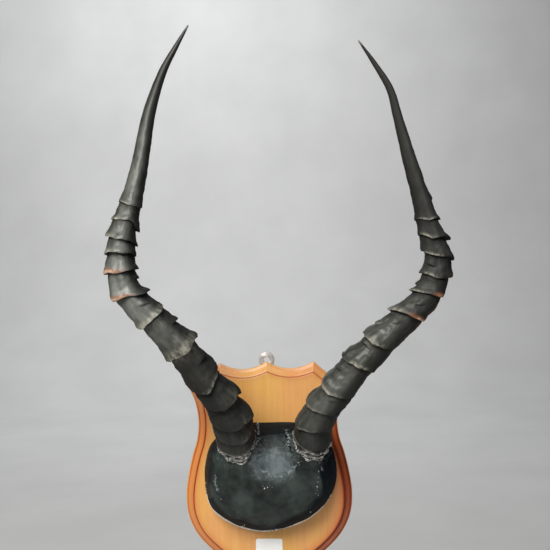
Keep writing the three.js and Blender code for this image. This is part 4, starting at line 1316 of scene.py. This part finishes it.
def plated_metal(name, bright, dull, metallic, cells):
    """Worn metal plate: a crystalline mottle, fine scratches and a little dull tarnish."""
    made, tree, shader = finish_tree(name, Metallic=metallic, Specular_IOR_Level=0.5)
    place = object_place(tree)
    mottle = grain_noise(tree, place, (cells, cells, cells), 3, 0.6)
    scratch = grain_noise(tree, place, (cells * 0.5, cells * 6, cells * 6), 3, 0.6)
    tarnish = grain_noise(tree, place, (cells * 0.4, cells * 0.4, cells * 0.4), 4, 0.65)
    colour = blend(tree, ramp(tree, mottle, (0.35, 0.0), (0.65, 1.0)), dull, bright)
    colour = blend(tree, ramp(tree, tarnish, (0.55, 0.0), (0.75, 0.7)), colour, TARNISH_BROWN)
    rough = ramp(tree, scratch, (0.3, 0.34), (0.7, 0.56))
    wire(tree, shader, colour, rough, bump(tree, blend(tree, 0.5, scratch, mottle), 0.0002, 0.3))
    return made


hanger = hanger_mesh()
hanger.data.materials.append(plated_metal("dull_zinc", ZINC_BRIGHT, ZINC_DULL, 0.30, 480))
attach(hanger, "root")
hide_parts("hanger_plate")

# ---- screws ------------------------------------------------------------------------------------------------
# Slotted countersunk steel wood screws, all driven in from the back. Two short ones hold the hanger, and
# three long ones go through the board into the skull cap. Each is turned from bar, threaded and pointed.

SLOT_WIDTH, SLOT_DEPTH = 0.9, 0.7
POINT_SHARE, POINT_WIDTH = 0.18, 0.06  # how much of the screw tapers, and to how much of its width
PLAIN_SHARE = 0.35  # how much of the screw has no thread, from its head down
THREAD_SLOPE = 0.25  # how deep the thread is cut, over half its pitch
SCREW_ROWS, SCREW_ROUND = 90, 32  # points along it and round it
STEEL_BRIGHT, STEEL_DULL = (0.42, 0.40, 0.36), (0.24, 0.23, 0.20)


def screw_maker():
    """The tree that turns one screw of the given sizes and sets a copy of it on every point."""
    tree = bpy.data.node_groups.new("wood_screws", "GeometryNodeTree")
    sizes = {"Head radius": 4.6, "Head depth": 3.0, "Shank radius": 2.4, "Length": 38.0, "Thread pitch": 2.2}
    named = {name: ("NodeSocketFloat", value) for name, value in sizes.items()}
    sockets = tree_inputs(tree, **named, Seed=("NodeSocketInt", 5), Steel=("NodeSocketMaterial",))
    given = tree.nodes.new("NodeGroupInput").outputs
    head, head_depth, shank, length, pitch = (times(tree, given[name], MM) for name in sizes)
    tip = add_node(tree, "ShaderNodeCombineXYZ", {1: times(tree, length, -1.0)}).outputs[0]
    bar = add_node(tree, "GeometryNodeCurvePrimitiveLine", {"End": tip}).outputs[0]
    bar = add_node(tree, "GeometryNodeResampleCurve", {"Curve": bar, "Count": SCREW_ROWS}).outputs[0]
    along = times(tree, add_node(tree, "GeometryNodeSplineParameter").outputs["Factor"], length)
    cone = sliding(tree, along, 0.0, head_depth, head, shank)
    taper = sliding(tree, along, times(tree, length, 1 - POINT_SHARE), length, 1.0, POINT_WIDTH)
    groove = times(tree, maths(tree, "PINGPONG", along, times(tree, pitch, 0.5)), -THREAD_SLOPE)
    threaded = maths(tree, "GREATER_THAN", along, times(tree, length, PLAIN_SHARE))
    radius = times(tree, maths(tree, "MULTIPLY_ADD", groove, threaded, cone), taper)
    feeds = {"Resolution": SCREW_ROUND, "Radius": 1.0}
    section = add_node(tree, "GeometryNodeCurvePrimitiveCircle", feeds).outputs[0]
    feeds = {"Curve": bar, "Profile Curve": section, "Scale": radius, "Fill Caps": True}
    body = add_node(tree, "GeometryNodeCurveToMesh", feeds).outputs[0]
    feeds = {0: times(tree, head, 3.0), 1: 2 * SLOT_DEPTH * MM, 2: SLOT_WIDTH * MM}
    size = add_node(tree, "ShaderNodeCombineXYZ", feeds).outputs[0]
    blade = add_node(tree, "GeometryNodeMeshCube", {"Size": size}).outputs[0]
    feeds = {"Mesh 1": body, "Mesh 2": blade}
    slotted = add_node(tree, "GeometryNodeMeshBoolean", feeds, operation="DIFFERENCE", solver="EXACT")
    feeds = {"Seed": given["Seed"], 2: 0.0, 3: math.tau}
    turn = add_node(tree, "FunctionNodeRandomValue", feeds, data_type="FLOAT").outputs[1]
    spin = add_node(tree, "ShaderNodeCombineXYZ", {1: turn}).outputs[0]
    feeds = {"Points": given["Geometry"], "Instance": slotted.outputs[0], "Rotation": spin}
    placed = add_node(tree, "GeometryNodeInstanceOnPoints", feeds).outputs[0]
    end_tree(tree, placed, given["Steel"])
    return tree, sockets


def set_of_screws(name, screw, places, seed, steel, nodes):
    points = bpy.data.meshes.new(name)
    points.from_pydata([Vector((x, screw["back"], z)) * MM for x, z in places], [], [])
    settings = {"Head radius": screw["head"], "Head depth": screw["head_depth"], "Length": screw["length"],
                "Shank radius": screw["shank"], "Seed": seed, "Steel": steel}
    made = run_tree(new_object(name, points), *screw_tree, settings, name)
    made.data.materials.clear()  # the slot's cutting tool leaves an empty finish behind
    made.data.materials.append(steel)
    made.data.shade_smooth()
    made.data.set_sharp_from_angle(angle=SHARP)
    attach(made, "root")
    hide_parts(*nodes)


screw_tree = screw_maker()
steel = plated_metal("screw_steel", STEEL_BRIGHT, STEEL_DULL, 0.85, 700)
set_of_screws("hanger_screws", HANGER_SCREW, HANGER_SCREW_PLACES, 4, steel,
              ["hanger_screw_upper", "hanger_screw_lower"])
set_of_screws("cap_screws", CAP_SCREW, CAP_SCREW_PLACES, 9, steel,
              ["cap_screw_left", "cap_screw_right", "cap_screw_lower"])

# ---- paper label -------------------------------------------------------------------------------------------
# A blank white self-adhesive lot label with round corners, pressed on the face of the shield below the cap
# and set a little askew. Its paper is slightly grubby, and it doesn't quite lie flat at one corner.

LABEL_PLACE, LABEL_SIZE, LABEL_CORNER = (-1.5, -79), (32, 22), 2.5
LABEL_THICKNESS, LABEL_TILT = 0.25, 0.02
LABEL_SIDES = 120
LABEL_SHARES = (1, 0.985, 0.95, 0.88, 0.78, 0.64, 0.48, 0.30, 0.14)  # its rows, over its outline
LIFT_HEIGHT, LIFT_START, LIFT_REACH = 0.35, 18, 9  # the corner that has come up
PAPER_FIBRE, PAPER_GRUBBY = ((1400, 1400, 700), 4, 0.65), ((95, 95, 60), 4, 0.6)


def label_outline():
    half_width, half_height = LABEL_SIZE[0] / 2, LABEL_SIZE[1] / 2
    corners = []
    for sx, sz, start in ((1, 1, 0), (-1, 1, 90), (-1, -1, 180), (1, -1, 270)):
        turns = np.radians(np.linspace(start, start + 90, 12))
        middle = np.array([sx * (half_width - LABEL_CORNER), sz * (half_height - LABEL_CORNER)])
        corners.append(middle + LABEL_CORNER * np.column_stack([np.cos(turns), np.sin(turns)]))
    loop = np.vstack([*corners, corners[0][:1]])
    return evenly(loop, LABEL_SIDES)[:-1]


def label_piece():
    outline = label_outline()
    back = -SHIELD_THICKNESS - TOUCH

    def row(share, height):
        flat = outline * share
        lift = LIFT_HEIGHT * np.clip((flat[:, 0] + flat[:, 1] - LIFT_START) / LIFT_REACH, 0, 1) ** 2
        return np.column_stack([flat[:, 0], back - height - lift, flat[:, 1]])

    under = [row(share, 0) for share in LABEL_SHARES[::-1]]
    over = [row(share, LABEL_THICKNESS) for share in LABEL_SHARES]
    tilt = np.array(Matrix.Rotation(LABEL_TILT, 3, "Y"))
    shift = np.array([LABEL_PLACE[0], 0, LABEL_PLACE[1]])
    places = np.array([*under, *over]) @ tilt.T + shift
    ends = np.array([[shift[0], back, shift[2]], [shift[0], back - LABEL_THICKNESS, shift[2]]])
    made = grid_object("lot_label", places, ends, {})
    made.data.shade_smooth()
    made.data.set_sharp_from_angle(angle=SHARP)
    return made


def label_paper():
    made, tree, shader = finish_tree("label_paper", Specular_IOR_Level=0.4)
    fibre, grubby = patterns(tree, object_place(tree), PAPER_FIBRE, PAPER_GRUBBY)
    colour = ramp(tree, grubby, (0.35, (0.95, 0.95, 0.94)), (0.75, (0.88, 0.87, 0.85)))
    colour = blend(tree, ramp(tree, fibre, (0.35, 0.0), (0.7, 0.25)), colour, (0.93, 0.93, 0.92))
    wire(tree, shader, colour, ramp(tree, fibre, (0.3, 0.5), (0.7, 0.68)), bump(tree, fibre, 0.00008, 0.4))
    return made


label = label_piece()
label.data.materials.append(label_paper())
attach(label, "root")
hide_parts("paper_label")
